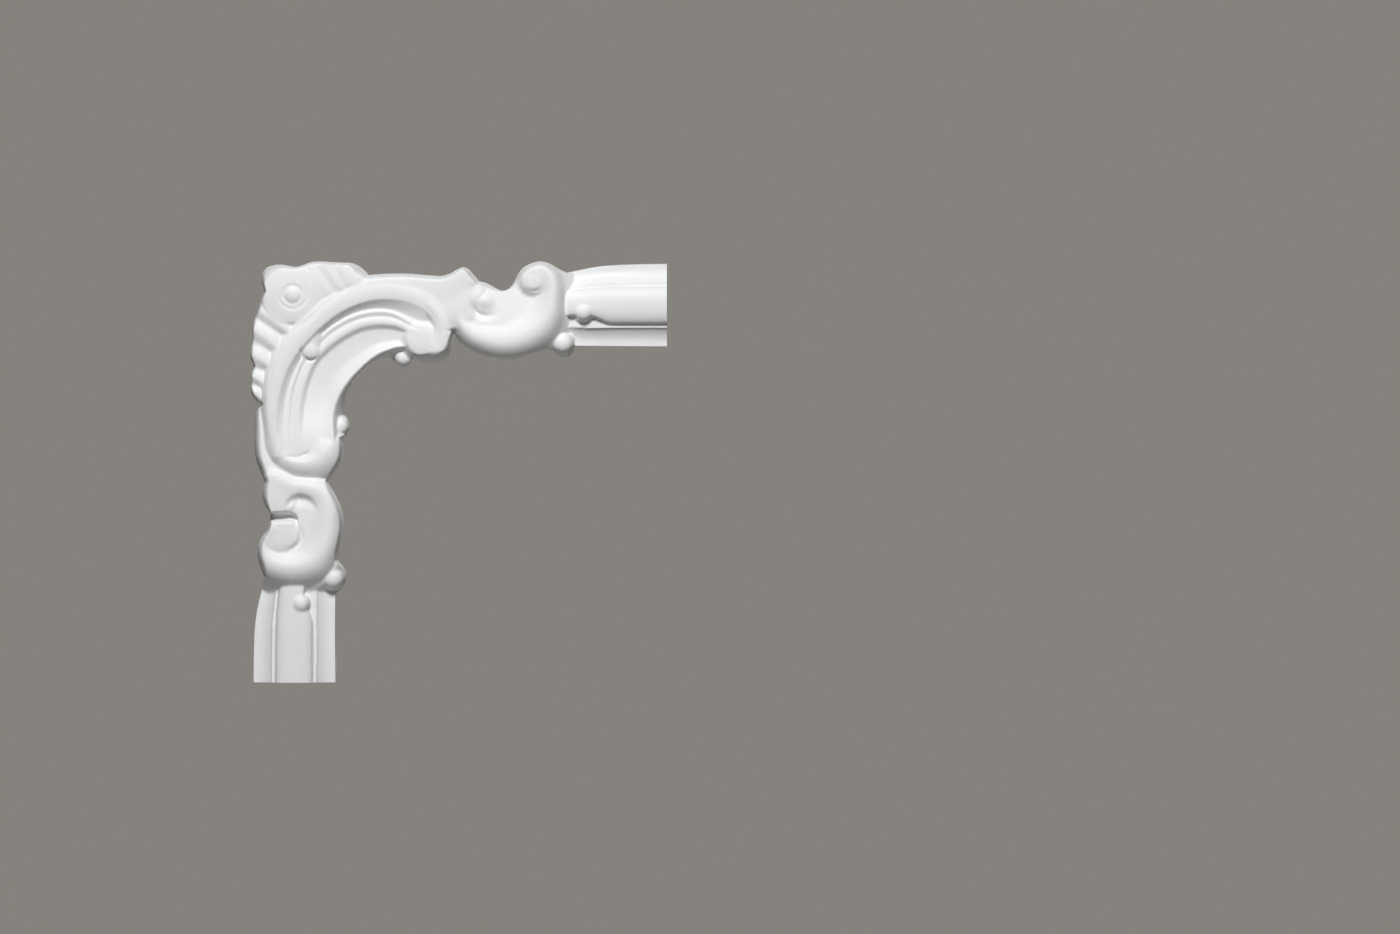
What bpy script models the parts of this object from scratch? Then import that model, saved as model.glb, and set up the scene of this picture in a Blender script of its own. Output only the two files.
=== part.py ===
"""Corner of a frieze moulding, cast in one piece.

Two plain legs of 50 mm moulding leave a carved corner: a great C with a shell crest on its outside,
and a smaller C-scroll on each leg. It lies upright in x and z, faces -y, and its flat back is y = 0.
The origin is on the back, where the centrelines of the two legs cross. Plan sizes are in millimetres.
"""

import math

import bmesh
import bpy
import numpy as np
from mathutils.kdtree import KDTree

MM = 0.001

# Sizes across the moulding, as heights above the wall and distances from its centreline
HALF_WIDTH = 25.0      # half of the 50 mm moulding
EDGE_HEIGHT = 7.0      # thickness at the moulding's outer edges
FILLET_HEIGHT = 11.6   # the flat fillets beside the middle torus
CROWN_HEIGHT = 17.2    # crown of the torus
FILLET_OUT = 13.7      # the fillets lie between these distances from the centreline
FILLET_IN = 11.6
RIM_HEIGHT = 23.0      # rim of the great C
SCROLL_HEIGHT = 24.4   # crests of the two scrolls
ARC_CENTRE = np.array((72.0, -78.0))
LOW = -100.0           # height given to a plan point that a form doesn't cover
FIRST_STEPS = (0, 0.35, 0.9, 1.7, 2.8, 4.2)   # columns of points along an edge, distance in from it
COLUMNS = 60
MOST_FACES = 9300

# The two edges as plan points (x, z, shoulder), from the right-hand end round the corner to the
# lower end. The shoulder is how far in from the edge its drafted, rounded side reaches.
# A sharp corner lies between two stretches.
OUTER_EDGE = [
    [(221.4, 24.8, 0.6), (205, 24.6, 0.6), (190, 24, 0.6), (180, 23.1, 0.7), (170, 21.3, 0.9),
     (162, 19.5, 1.2)],
    [(162, 19.5, 1.2), (158.5, 21, 3), (155, 23, 4), (151, 25.2, 4), (147, 26.2, 4), (142, 25.5, 4),
     (138, 23.8, 4), (134.5, 21, 4), (132, 17, 3), (129.5, 12.3, 2.2), (127, 9.7, 1.6), (124, 8.8, 1.5),
     (121.5, 9.3, 2), (118, 11.2, 3), (114, 13.3, 3.6), (109.5, 14.5, 3.6)],
    [(109.5, 14.5, 3), (106.5, 18.2, 3.4), (103.5, 21.5, 3), (100.5, 22.7, 2.6), (97.5, 21.8, 2.6),
     (93, 19.2, 3), (88, 17.7, 3.4), (80, 18, 3.6), (70, 18.8, 3.6), (60, 19, 3.6), (50, 18.6, 3.6),
     (44, 18.1, 3.6)],
    [(44, 18.1, 4), (41.5, 20.8, 6), (38, 23.6, 5), (34, 25.2, 3), (29, 25.5, 2.4), (22, 25.8, 2.4),
     (15, 26.2, 2.4),
     (10, 25.8, 2.6), (5.5, 24.2, 2.4), (1.5, 23, 2.2), (-3, 23.5, 2.4), (-8, 24.3, 3), (-13, 23.9, 3.4),
     (-17, 22.3, 3.4), (-19.4, 19, 3), (-19.2, 13, 2.6), (-17.8, 8, 2)],
    [(-17.8, 8, 2), (-19.8, 4, 2.6), (-22, -2.5, 3), (-24.3, -9, 2.4)],
    [(-24.3, -9, 2.4), (-25, -14, 2), (-25, -20, 2)],
    [(-25, -20, 2), (-26, -25.5, 2.2), (-26.2, -31, 2.4), (-24.3, -36.6, 2.2)],
    [(-24.3, -36.6, 2.2), (-25.8, -41, 2), (-26.1, -45.5, 2)],
    [(-26.1, -45.5, 2), (-26.2, -50, 2.2), (-25, -54.4, 2.6), (-22.6, -57.4, 2.4), (-19.6, -59, 1.6)],
    [(-19.6, -59, 1.6), (-22, -61.2, 2.4), (-23.2, -64, 3.4), (-23.8, -69, 4.2), (-24.1, -75, 5),
     (-24, -85, 5), (-23, -92, 5), (-20.8, -98, 5),
     (-18.2, -105, 4.6)],
    [(-18.2, -105, 4.6), (-19.2, -110, 5), (-19.2, -114.5, 5), (-17.6, -119, 4), (-14.6, -123.4, 2)],
    [(-14.6, -123.4, 2), (-14.6, -129.5, 2)],
    [(-14.6, -129.5, 2), (-16.4, -133.8, 3), (-19.4, -137.4, 4), (-21.6, -141.4, 5), (-22.3, -146.5, 5),
     (-21.8, -151.5, 5), (-20.2, -156.5, 4.6), (-18.4, -161.5, 3)],
    [(-18.4, -161.5, 1.2), (-19.8, -168.5, 0.9), (-21.6, -176, 0.7), (-23.1, -184, 0.6), (-24, -192, 0.6),
     (-24.6, -206, 0.6), (-24.8, -224.1, 0.6)],
]
INNER_EDGE = [
    [(221.4, -25, 0.6), (190, -24.8, 0.6), (166.6, -24.6, 0.6)],
    [(166.6, -24.6, 0.8), (165.4, -28, 1), (162.6, -30.4, 1), (159, -31, 1), (155.6, -29.4, 1),
     (153.6, -27, 1)],
    [(153.6, -27, 1), (150, -26.9, 1.8), (144, -28.4, 2), (138, -30.4, 2.2), (132, -32, 2.2),
     (125, -32.6, 2.2),
     (117, -31.8, 2.2), (109, -29.4, 2.2), (102, -25.6, 2.2), (97.5, -21.6, 2.4), (94.6, -16, 1.6)],
    [(94.6, -16, 1.4), (94.1, -21, 2.6), (93.2, -27, 4), (91, -31, 5.6), (86.5, -33.6, 6.2),
     (80, -34.2, 6.2),
     (74, -33.6, 4.6), (70.8, -32.4, 2.4)],
    [(70.8, -32.4, 0.8), (69.6, -34.4, 1), (67.2, -36.2, 1), (64.5, -36.9, 1), (61.6, -35.8, 1),
     (59.4, -33.4, 0.8)],
    [(59.4, -33.4, 0.8), (54, -31.6, 0.8), (48.6, -33, 0.8), (43, -36.8, 0.8), (38, -41.4, 0.8),
     (34, -47, 0.8),
     (31.2, -53, 0.8), (29.4, -59.5, 0.8), (29.2, -65, 0.8)],
    [(29.2, -65, 0.8), (31.4, -67.4, 1), (32.6, -71, 1), (32.4, -74.6, 1), (30.8, -77.4, 1),
     (28, -79.2, 0.9)],
    [(28, -79.2, 0.9), (28.9, -82.4, 2), (29, -86, 2.2), (28.4, -91, 2.4), (26, -96.4, 2.4),
     (22.8, -101, 2.2), (20, -104.8, 1.4)],
    [(20, -104.8, 1.4), (22.4, -109.4, 2.2), (25, -114.4, 2.4), (27.6, -120.4, 2.4), (29, -127, 2.4),
     (29, -134, 2.4),
     (27.8, -141, 2.4), (26.2, -147.4, 2.2), (25.6, -151.6, 1.4)],
    [(25.6, -151.6, 1), (28.4, -155, 1.1), (30.6, -159.4, 1.1), (30.4, -164, 1.1), (28.2, -168.2, 1),
     (24.8, -171.4, 0.8)],
    [(24.8, -171.4, 0.6), (24.6, -186, 0.6), (24.9, -224.1, 0.6)],
]
# Plan points of the two edges that face each other across the piece.
FACING = [
    ((221.4, 24.8), (221.4, -25)), ((190, 24), (190, -24.8)), ((170, 21.3), (166.6, -24.6)),
    ((162, 19.5), (153.6, -27)), ((147, 26.2), (144, -28.4)), ((134.5, 21), (132, -32)),
    ((124, 8.8), (125, -32.6)), ((109.5, 14.5), (109, -29.4)), ((100.5, 22.7), (97.5, -21.6)),
    ((96.4, 21.3), (94.6, -16)), ((84, 17.8), (93.2, -27)), ((77, 18.2), (86.5, -33.6)),
    ((68, 18.9), (70.8, -32.4)),
    ((60, 19), (59.4, -33.4)), ((44, 18.1), (52, -31.9)), ((15, 26.2), (45, -35.3)), ((-19.3, 17),
                                                                                      (40, -39.4)),
    ((-24.3, -9), (36, -43.8)), ((-25, -20), (34, -47)), ((-24.3, -36.6), (31.2, -53)), ((-19.6, -59),
                                                                                         (29.2, -65)),
    ((-24.1, -72), (28, -79.2)), ((-18.2, -105), (20, -104.8)), ((-14.6, -123.4), (28.4, -124)),
    ((-14.6, -129.5), (29.1, -131)), ((-22.3, -146.5), (25.6, -151.6)), ((-18.4, -161.5), (30.4, -164)),
    ((-20.2, -170.8), (24.8, -171.4)), ((-24.8, -224.1), (24.9, -224.1)),
]


def nearest(line, plan):
    """For each plan point, the number of the line's sample that lies nearest to it."""
    tree = KDTree(len(line))
    for i, (x, z) in enumerate(line):
        tree.insert((x, z, 0), i)
    tree.balance()
    return np.array([tree.find((x, z, 0))[1] for x, z in plan], int)


def smooth_curve(points, step):
    """Samples of a smooth curve through hand-set points; values past x and z are carried along."""
    points = np.array(points, float)
    chord = np.hypot(*np.diff(points[:, :2], axis=0).T)
    knot = np.concatenate([[0], np.cumsum(chord)])
    slope = np.diff(points, axis=0) / chord[:, None]
    near = (chord[:-1] / (chord[1:] + chord[:-1]))[:, None]
    tangent = np.vstack([slope[:1], slope[:-1] * (1 - near) + slope[1:] * near, slope[-1:]])
    at = np.linspace(0, knot[-1], max(2, math.ceil(knot[-1] / step) + 1))
    i = np.clip(np.searchsorted(knot, at, side="right") - 1, 0, len(chord) - 1)
    f = ((at - knot[i]) / chord[i])[:, None]
    reach = chord[i][:, None]
    return ((2 * f**3 - 3 * f**2 + 1) * points[i] + (f**3 - 2 * f**2 + f) * reach * tangent[i]
            + (3 * f**2 - 2 * f**3) * points[i + 1] + (f**3 - f**2) * reach * tangent[i + 1])


def edge_line(stretches, step=0.25):
    """One edge of the piece as close samples (x, z, shoulder)."""
    return np.vstack([smooth_curve(points, step)[min(k, 1):] for k, points in enumerate(stretches)])


def beside(plan, line, reach):
    """For each plan point: its distance from a line, the side it lies on (1 left of the line's run, -1 right,
    and in between round its ends), and the line's values there."""
    line = line if isinstance(line, np.ndarray) else smooth_curve(line, 0.4)
    distance = np.full(len(plan), 1e3)
    side = np.zeros(len(plan))
    along = np.zeros(len(plan))
    low, high = line[:, :2].min(0) - reach, line[:, :2].max(0) + reach
    close = np.flatnonzero(((plan > low) & (plan < high)).all(1))
    tangent = np.gradient(line[:, :2], axis=0)
    length = np.hypot(*tangent.T)
    tangent /= length[:, None]
    i = nearest(line[:, :2], plan[close])
    away = plan[close] - line[i, :2]
    ahead = (away * tangent[i]).sum(1)
    across = tangent[i, 0] * away[:, 1] - tangent[i, 1] * away[:, 0]
    past = ahead - np.clip(ahead, -length[i], length[i])
    distance[close] = np.hypot(across, past)
    side[close] = across / np.maximum(distance[close], 1e-9)
    along[close] = i + ahead / length[i]
    values = [np.interp(along, np.arange(len(line)), column) for column in line[:, 2:].T]
    return distance, side, values


def ease(t):
    t = np.clip(t, 0, 1)
    return t * t * (3 - 2 * t)


def join(a, b, softness=0.8):
    """The higher of two surfaces, with their crease filled over a small height."""
    gap = np.clip(1 - np.abs(a - b) / softness, 0, 1)
    return np.maximum(a, b) + softness * gap**2 / 4


def quarter_round(d, width, power=2.0):
    """1 at the crest and 0 at width, along a (super)ellipse."""
    return np.clip(1 - np.clip(d / width, 0, 1)**power, 0, 1)**(1 / power)


def dome(plan, centre, radius, top, drop, stretch=(1.0, 1.0)):
    """A round boss that has fallen by drop x radius at its edge, and runs on down beyond it."""
    q = np.hypot(*((plan - centre) / stretch).T) / radius
    within = np.clip(q, 0, 0.92)
    return top - radius * (drop * (1 - np.sqrt(1 - within**2)) + 1.5 * np.clip(q - 0.92, 0, 3))


def bead(plan, centre, radius, top):
    """A round bead with steep sides."""
    q = np.hypot(*(plan - centre).T) / radius
    within = np.clip(q, 0, 0.97)
    return top - radius * (0.95 * (1 - np.sqrt(1 - within**2.4)) + 4 * np.clip(q - 0.97, 0, 3))


def swell(plan, centre, radius, rise):
    """A soft round rise, to be added to a surface."""
    return rise * (1 - ease(np.hypot(*(plan - centre).T) / radius))


def ridge(plan, points, drops, rounds=(2, 2)):
    """A raised line: points are (x, z, crest, left width, right width). drops is how far the left and right
    flanks fall over those widths and rounds the power of their curve, or 0 for an S-shaped flank that
    ends level. Beyond its width a flank runs on down steeply."""
    d, side, (crest, left, right) = beside(plan, points, 12 + max(max(p[3:]) for p in points))
    height = crest.copy()
    for share, width, drop, power in zip((0.5 + side / 2, 0.5 - side / 2), (left, right), drops, rounds):
        t = np.clip(d / width, 0, 1)
        height -= share * (drop * (t**power if power else ease(t)) + 1.3 * np.clip(d - width, 0, None))
    return height


def groove(height, plan, points):
    """Cuts a soft line into the surface: points are (x, z, depth, left width, right width)."""
    d, side, (depth, left, right) = beside(plan, points, 1 + max(max(p[3:]) for p in points))
    t = np.clip(2 * d / (left + right + side * (left - right)), 0, 1)
    return height - depth * (1 - ease(t**0.9))


def hollow(height, plan, points, left):
    """A hollow that starts as a short wall along a line and rises gently away from it, to the line's
    left where left is 1 and to its right where it is -1. Points are (x, z, depth, wall width, width)."""
    d, side, (depth, wall, width) = beside(plan, points, 2 + max(p[4] for p in points))
    d = d * np.clip(side * left, 0, 1)
    return height - depth * ease(d / wall) * (1 - np.clip(d / width, 0, 1))**1.5


def moulding(s):
    """Height of the running moulding at a distance s from its centreline: cove, fillet, torus."""
    a = np.abs(s)
    t = (HALF_WIDTH - a) / (HALF_WIDTH - FILLET_OUT)
    cove = EDGE_HEIGHT + (FILLET_HEIGHT - 0.9 - EDGE_HEIGHT) * np.clip((t - 0.22) / 0.78, 0, 1)**2.1
    torus = FILLET_HEIGHT - 0.3 + (CROWN_HEIGHT - FILLET_HEIGHT + 0.3) * quarter_round(a, FILLET_IN, 2.3)
    torus = np.minimum(torus, FILLET_HEIGHT - 0.3 + 2.6 * np.clip(FILLET_IN - a, 0, None))
    return np.where(a > FILLET_OUT, cove, np.where(a > FILLET_IN, FILLET_HEIGHT, torus))


def stub(run, s, outer_edge):
    """One plain end of the moulding. run grows away from the scroll, s is + on the outer side; the outer
    half narrows with its edge, and the torus pulls in to a nose on the inner side near the scroll."""
    edge = np.interp(run, [p[0] for p in outer_edge], [p[1] for p in outer_edge])
    s = np.where(s > 0, s * HALF_WIDTH / edge, s)
    nose = np.interp(run, [176, 179, 182, 186, 189], [8.6, 9.2, 10, 11.2, FILLET_IN])
    s = np.where((s < 0) & (s > -nose), s * FILLET_IN / nose, s)
    s = np.where((s <= -nose) & (s > -FILLET_OUT), np.minimum(s, -FILLET_IN - 0.1), s)
    return np.where(run > 157, moulding(s) - 1.2 * np.clip(163 - run, 0, 9), LOW)


def bearing_and_radius(plan):
    """Polar place about the great C's centre: 0 degrees straight above it, 90 straight left."""
    away = plan - ARC_CENTRE
    return np.degrees(np.arctan2(-away[:, 0], away[:, 1])), np.hypot(*away.T)


def arc_line(points):
    """The radius, for any bearing, of a line of the great C drawn in plan."""
    bearing, radius = bearing_and_radius(smooth_curve(points, 0.5))
    order = np.argsort(bearing)
    return lambda at: np.interp(at, bearing[order], radius[order])


RIM_EDGE = arc_line([(84, -11), (82, -7), (78, -3), (70, 1), (60, 3.1), (53, 3.3), (45, 2.3), (35, -1),
                     (25, -6.5), (16, -14), (6, -24.5), (-1, -34), (-6, -46), (-9, -60), (-9.5, -70),
                     (-9, -78), (-7, -84)])
TROUGH = arc_line([(80, -12.5), (76, -10), (68, -6.5), (60, -3.5), (53, -2.4), (45, -2.8), (35, -5.5),
                   (25, -11),
                   (17, -17), (7.5, -28.5), (1.5, -38), (-3, -50), (-4.8, -60), (-5.2, -70), (-4.6, -80)])
NARROW_RIB = arc_line([(76, -13.6), (70, -11.5), (64, -7.5), (58, -4.8), (50, -4), (40, -5.5), (30, -9.5),
                       (22, -14.5), (16, -20), (5.5, -31.5), (2, -40), (-1, -50), (-2.4, -60),
                       (-2.6, -70), (-2, -80)])
VALLEY = arc_line([(76, -14.6), (70, -13), (64, -9.6), (58, -7.6), (50, -6.9), (40, -8.5), (30, -12.5),
                   (22, -17.5), (17, -22), (8.5, -32), (4, -41), (0.8, -50), (-0.6, -60), (-0.8, -70),
                   (0, -80)])
BROAD_RIB = arc_line([(76, -16.5), (70, -14.6), (64, -12.2), (58, -10.6), (50, -10), (40, -11.6),
                      (30, -16.4),
                      (20, -23.8), (11.5, -33.5), (7.4, -42), (4.4, -50), (2.8, -60), (2.6, -72),
                      (3.4, -80)])
STEP_TOP = arc_line([(76, -18.5), (68, -15.6), (60, -12.6), (52, -11.8), (40, -13.6), (30, -18.6),
                     (20, -26),
                     (13, -33.6), (9, -42), (6, -51), (4.4, -61), (4.2, -72), (5.4, -80)])
STEP_FOOT = arc_line([(76, -20.5), (68, -17.4), (60, -15.2), (52, -14.6), (40, -16.6), (30, -21.6),
                      (21, -28.4),
                      (15, -34.5), (11, -43), (8, -53), (6.4, -62), (6.2, -75), (7.4, -80)])
ARRIS = arc_line([(80, -25.5), (72, -25), (62.5, -24.9), (56.5, -26.5), (50.6, -28.9), (44.6, -33),
                  (38.7, -38.4),
                  (32.7, -44.9), (28.6, -50.9), (25.6, -57.4), (23.8, -64), (22.8, -71), (23, -78)])


def great_c(plan):
    """The great C across its width: rim, trough, two ribs, step, cove and the arris above its inner wall.
    Also how fully it is carved into what lies there: 1 inside the rim, fading out at its two ends."""
    bearing, radius = bearing_and_radius(plan)

    def turning(*pairs):
        """A value that changes smoothly with the bearing."""
        at, value = zip(*pairs)
        return np.mean([np.interp(bearing + turn, at, value) for turn in range(-8, 9, 2)], axis=0)

    rim, arris, foot = RIM_EDGE(bearing), ARRIS(bearing), STEP_FOOT(bearing)
    rim_top = turning((-14, 22.4), (0, 22.8), (12, RIM_HEIGHT), (45, RIM_HEIGHT), (80, 22.8), (95, 22.6))
    broad_top = turning((-6, 20.6), (4, 20), (12, 19.3), (45, 19.2), (80, 20), (90, 21.8))
    section = [
        (rim, rim_top, None),
        (TROUGH(bearing), turning((-10, 20.4), (0, 19.4), (12, 18.6), (45, 18.6), (79, 19), (90, 21.8)),
         lambda t: 1 - (1 - t)**1.35),
        (NARROW_RIB(bearing), turning((-10, 20.6), (0, 20.2), (12, 19.5), (45, 19.4), (80, 20),
                                      (90, 21.8)), ease),
        (VALLEY(bearing), turning((-6, 20.2), (2, 19.6), (12, 18.7), (45, 18.4), (78, 18.8),
                                  (90, 21.8)), ease),
        (BROAD_RIB(bearing), broad_top, lambda t: 1 - (1 - t)**2),
        (STEP_TOP(bearing), broad_top - 0.35, lambda t: t**2),
        (foot, turning((-4, 19.6), (4, 17.4), (12, 16.6), (45, 16.4), (72, 16.8), (82, 19), (92, 21.8)),
         lambda t: 1 - (1 - t)**1.2),
        (arris + 0.42 * (foot - arris), turning((-4, 19), (6, 16.8), (14, 15.9), (45, 15.6), (67, 16),
                                                (80, 18.7), (93, 21.8)),
         lambda t: 1 - (1 - t)**1.8),
        (arris, turning((-4, 19.6), (8, 18.8), (45, 18.4), (76, 19.2), (88, 21.8)), lambda t: t**1.5),
        (arris - 9, turning((-4, 20), (8, 19.2), (45, 18.8), (76, 19.6), (88, 21.8)), lambda t: t),
    ]
    height = np.full(len(plan), LOW)
    for (from_r, from_h, _), (to_r, to_h, shape) in zip(section, section[1:]):
        t = np.clip((from_r - radius) / np.maximum(from_r - to_r, 1e-6), 0, 1)
        height = np.where((radius <= from_r) & (radius > to_r), from_h + (to_h - from_h) * shape(t),
                          height)
    wall = turning((76, 19.2), (88, 27)) * np.clip((radius - arris + 6.9) / 6.9, 0, 2)**0.8
    height = -join(-height, -wall, 3)
    out = radius - rim
    width = turning((-12, 12), (0, 9.5), (10, 9.5), (45, 9), (62, 9), (75, 7), (84, 4.2), (95, 3.8))
    crown = rim_top + 0.5 * (1 - (2 * np.clip(out / width, 0, 1) - 1)**2)
    fall = turning((-12, 0), (5, 0.6), (14, 1.2), (30, 3), (60, 3.4), (72, 5.4), (95, 6))
    spread = turning((0, 8), (30, 4), (60, 4), (75, 4.8), (95, 5))
    beyond = np.clip(out - width, 0, None)
    outside = crown - fall * np.clip(beyond / spread, 0, 1.4)**1.5
    outside -= 1.3 * np.clip(beyond - 1.4 * spread, 0, None)
    height = np.where(out >= 0, outside, height)
    ends = ease((bearing + 12) / 8) * ease((106 - bearing) / 8)
    height = np.where(radius > section[-1][0], height, LOW)
    return height - 9 * (1 - ends), np.where(out < 0, ends, 0)


def shell_crest(plan):
    """Shell crest on the corner: a round lobe with an eye, a fluted lobe to its right, five down its left."""
    x, z = plan.T
    height = join(ridge(plan, [(8, 14, 21.6, 12, 14), (18, 14.6, 22.3, 12, 13), (27, 15, 22.6, 12, 11),
                               (33, 15.6, 22.6, 11, 9.5)], (1.0, 1.6)), dome(plan, (33, 15.4),
                                                                             11, 22.9, 0.2), 1.2)
    lobes = [
        [(-23, -1, 20.2, 6, 6.4), (-13, -8.4, 21.3, 6, 6.2), (-6, -13.4, 21.3, 5, 5.4),
         (-3.6, -15.4, 21.1, 4, 4.4)],
        [(-26, -12.5, 19.8, 6.4, 6.6), (-18, -18.6, 21.1, 6.4, 6.4), (-12, -23.4, 21.1, 5.6, 5.6),
         (-10, -25.4, 20.8, 4.6, 4.6)],
        [(-27, -27.4, 19.4, 6.4, 6.6), (-20.6, -31.6, 20.7, 6.4, 6), (-16, -34.8, 20.5, 5, 5),
         (-14.8, -36, 20.2, 4.2, 4.2)],
        [(-27, -40.4, 18.8, 5, 4.8), (-21.6, -43.8, 19.9, 4.8, 4.4), (-18.4, -46.4, 19.6, 4.2, 4)],
        [(-26.4, -50.4, 18.4, 4.4, 4.4), (-22, -53, 19.1, 4.2, 4.2), (-20.4, -54.4, 18.8, 3.8, 3.8)],
    ]
    for lobe in lobes:
        height = join(height, ridge(plan, lobe, (1.5, 2.3), (2, 0)), 1.1)
    for line in ([(13, 24, 0.2, 4, 4), (17, 19, 0.45, 4.4, 4.4), (21, 13, 0.5, 4.4, 4.4),
                  (25, 8, 0.3, 4, 4)],
                 [(23, 24, 0.1, 3, 3), (27, 18, 0.35, 3.6, 3.6), (30, 12.5, 0.4, 3.6, 3.6),
                  (31.6, 9, 0.2, 3, 3)]):
        height = groove(height, plan, line)
    height = join(height, dome(plan, (-1, 6), 18.6, 22.7, 0.14, (1.02, 0.98)), 1.5)
    from_eye = np.hypot(x + 0.3, z - 6)
    fade = 0.5 + 0.5 * np.clip((x * 0.4 - z + 5) / 6, -1, 1)
    height = height - 0.5 * np.exp(-(from_eye - 5.4)**2) - 0.55 * fade * np.exp(-((from_eye - 8.2) / 0.9)**2)
    return join(height, dome(plan, (-0.3, 6), 4.9, 23.7, 0.4), 0.4)


def lying_scroll(plan):
    """C-scroll on the horizontal leg, open upwards between its two volutes."""
    height = dome(plan, (123, 3), 27, 19.8, 0.02) + 0.13 * np.clip(4 - plan[:, 1], -6, 15)
    rim = [(99.6, 6, 21.6, 5, 6), (98, 0, 21.8, 6, 6), (98.2, -6, 22, 8, 6), (101, -11.6, 22.6, 12, 7),
           (106, -16.4, 23.2, 15, 8.6), (115, -20, 23.8, 18, 10), (125, -21.2, 24.2, 19, 11),
           (133, -19.8, SCROLL_HEIGHT, 19, 11.4), (140, -16.6, SCROLL_HEIGHT, 18, 11.8),
           (146, -12, SCROLL_HEIGHT, 17, 11.8), (151, -5, SCROLL_HEIGHT, 16, 10),
           (153.6, 3, SCROLL_HEIGHT, 14, 7.2),
           (154, 10, SCROLL_HEIGHT, 13, 6.4), (151.6, 17, 24.2, 14, 6.8), (147, 21, 23.8, 15, 8),
           (141.6, 21, 23.2, 15, 8),
           (138, 18, 22.2, 14, 8)]
    height = join(height, ridge(plan, rim, (5.4, 8.2), (0, 2.35)), 0.8)
    height = join(height, dome(plan, (95, 4), 15.5, 22, 0.14), 1.6)
    height = join(height, dome(plan, (94.4, -4), 11, 22, 0.3), 1.6)
    height = join(height, ridge(plan, [(108, 9, 21.4, 4, 6), (104.4, 6, 22.2, 4, 6),
                                       (102.6, 0, 22.4, 4, 6),
                                       (104, -6, 22.2, 3, 6)], (1, 1.2)), 1.6)
    height = height + swell(plan, (113, 2.8), 8.4, 2.6)
    height = groove(height, plan, [(105.8, 3, 0.1, 1.4, 2), (106.6, -1, 0.8, 1.8, 2.6),
                                   (108.8, -4.4, 1.2, 2.2, 3.4), (112.8, -6.4, 1.1, 2.6, 4),
                                   (117.4, -6, 0.6, 2.6, 4), (121.6, -4, 0.1, 2, 3)])
    height = join(height, dome(plan, (142.8, 14.2), 8, 24, 0.32), 2)
    return groove(height, plan, [(136.6, 10.4, 0.1, 1.6, 2), (139.4, 8.4, 0.8, 2.2, 3),
                                 (143, 7.8, 1.1, 2.4, 3.4),
                                 (146.4, 9.4, 0.7, 2.2, 3), (148, 12.4, 0.1, 1.8, 2)])


def hanging_scroll(plan):
    """C-scroll on the vertical leg, fed from above by the strand outside the great C."""
    height = dome(plan, (3, -131), 26, 20, 0.02)
    rim = [(-13, -100, 20.4, 9, 14), (-8, -104.4, 21.4, 9, 14), (-1, -107.4, 22.2, 8, 14),
           (6, -108.4, 22.8, 8, 14),
           (12.4, -110, 23, 9, 14), (17.4, -114, 23, 10, 14), (20, -120, 23.2, 9.4, 14),
           (20.4, -129, 23.4, 9, 15),
           (19.4, -138, 23.6, 9.4, 14), (16.6, -145.6, 23.8, 10, 13), (11.6, -151.2, 24, 12, 11),
           (4, -154.4, 24, 12, 10), (-5, -155, 24, 11.4, 10), (-12.4, -152.6, 23.6, 10.4, 10),
           (-17, -147.6, 23, 8, 9), (-18, -141.4, 22.4, 6, 8), (-15.6, -136.4, 21.8, 6, 7),
           (-12, -133, 21.2, 6, 7)]
    height = join(height, ridge(plan, rim, (7.8, 3.8), (2.3, 0)), 1.2)
    height = join(height, dome(plan, (-10.4, -112), 13, 22.2, 0.1), 3)
    height = hollow(height, plan, [(-5.8, -121.6, 1.2, 3, 5), (-5.2, -117.6, 3, 3.4, 7),
                                   (-2, -113.4, 4.2, 4, 9),
                                   (2, -111.6, 4.8, 4.4, 10), (6.4, -111.6, 4.6, 4.4, 10),
                                   (11, -113.6, 3.4, 4.2, 9),
                                   (14.4, -117.6, 1.6, 3.6, 8), (16, -122, 0.2, 3, 6)], -1)
    height = join(height, dome(plan, (-7.4, -135.4), 11, 22, 0.12), 3)
    d, _, (half, depth) = beside(plan, [(-24, -125.8, 2.3, 7), (-8, -125.8, 2.2, 7),
                                        (-2, -125.8, 2.1, 6.4),
                                        (0.8, -126.8, 1.7, 5), (1.6, -129, 1, 2.4),
                                        (2, -131, 0.4, 0.2)], 6)
    height = height - depth * (1 - ease(d - half + 0.5))
    return groove(height, plan, [(1.6, -130.4, 1, 2, 2), (4.2, -135, 0.9, 2.6, 2.6),
                                 (4.6, -139, 0.9, 2.6, 2.6),
                                 (1.4, -143, 0.8, 2.6, 2.6), (-5, -145.2, 0.5, 3, 3),
                                 (-11, -145.2, 0.1, 3, 3)])


def strands(plan):
    """The two strands that run outside the great C's rim: one to the spike, one to the hanging scroll."""
    along_top = ridge(plan, [(40, 11, 20.8, 9, 14), (60, 13.2, 21.8, 8, 14), (75, 13.2, 22.2, 8, 14),
                             (88, 12.6, 22.5, 8, 14), (95, 14.4, 22.8, 8, 12), (100, 18, 23, 7, 9)],
                             (1.4, 1.0), (2, 2))
    down_side = ridge(plan, [(-19, -59, 17, 3, 4), (-19.6, -66, 18, 3, 4), (-19.6, -74, 18.6, 4, 4),
                             (-19, -84, 19, 6, 4),
                             (-17, -93, 19.4, 8, 5), (-13, -100, 20, 9, 6)], (0.5, 1.2))
    return along_top, down_side


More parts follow.
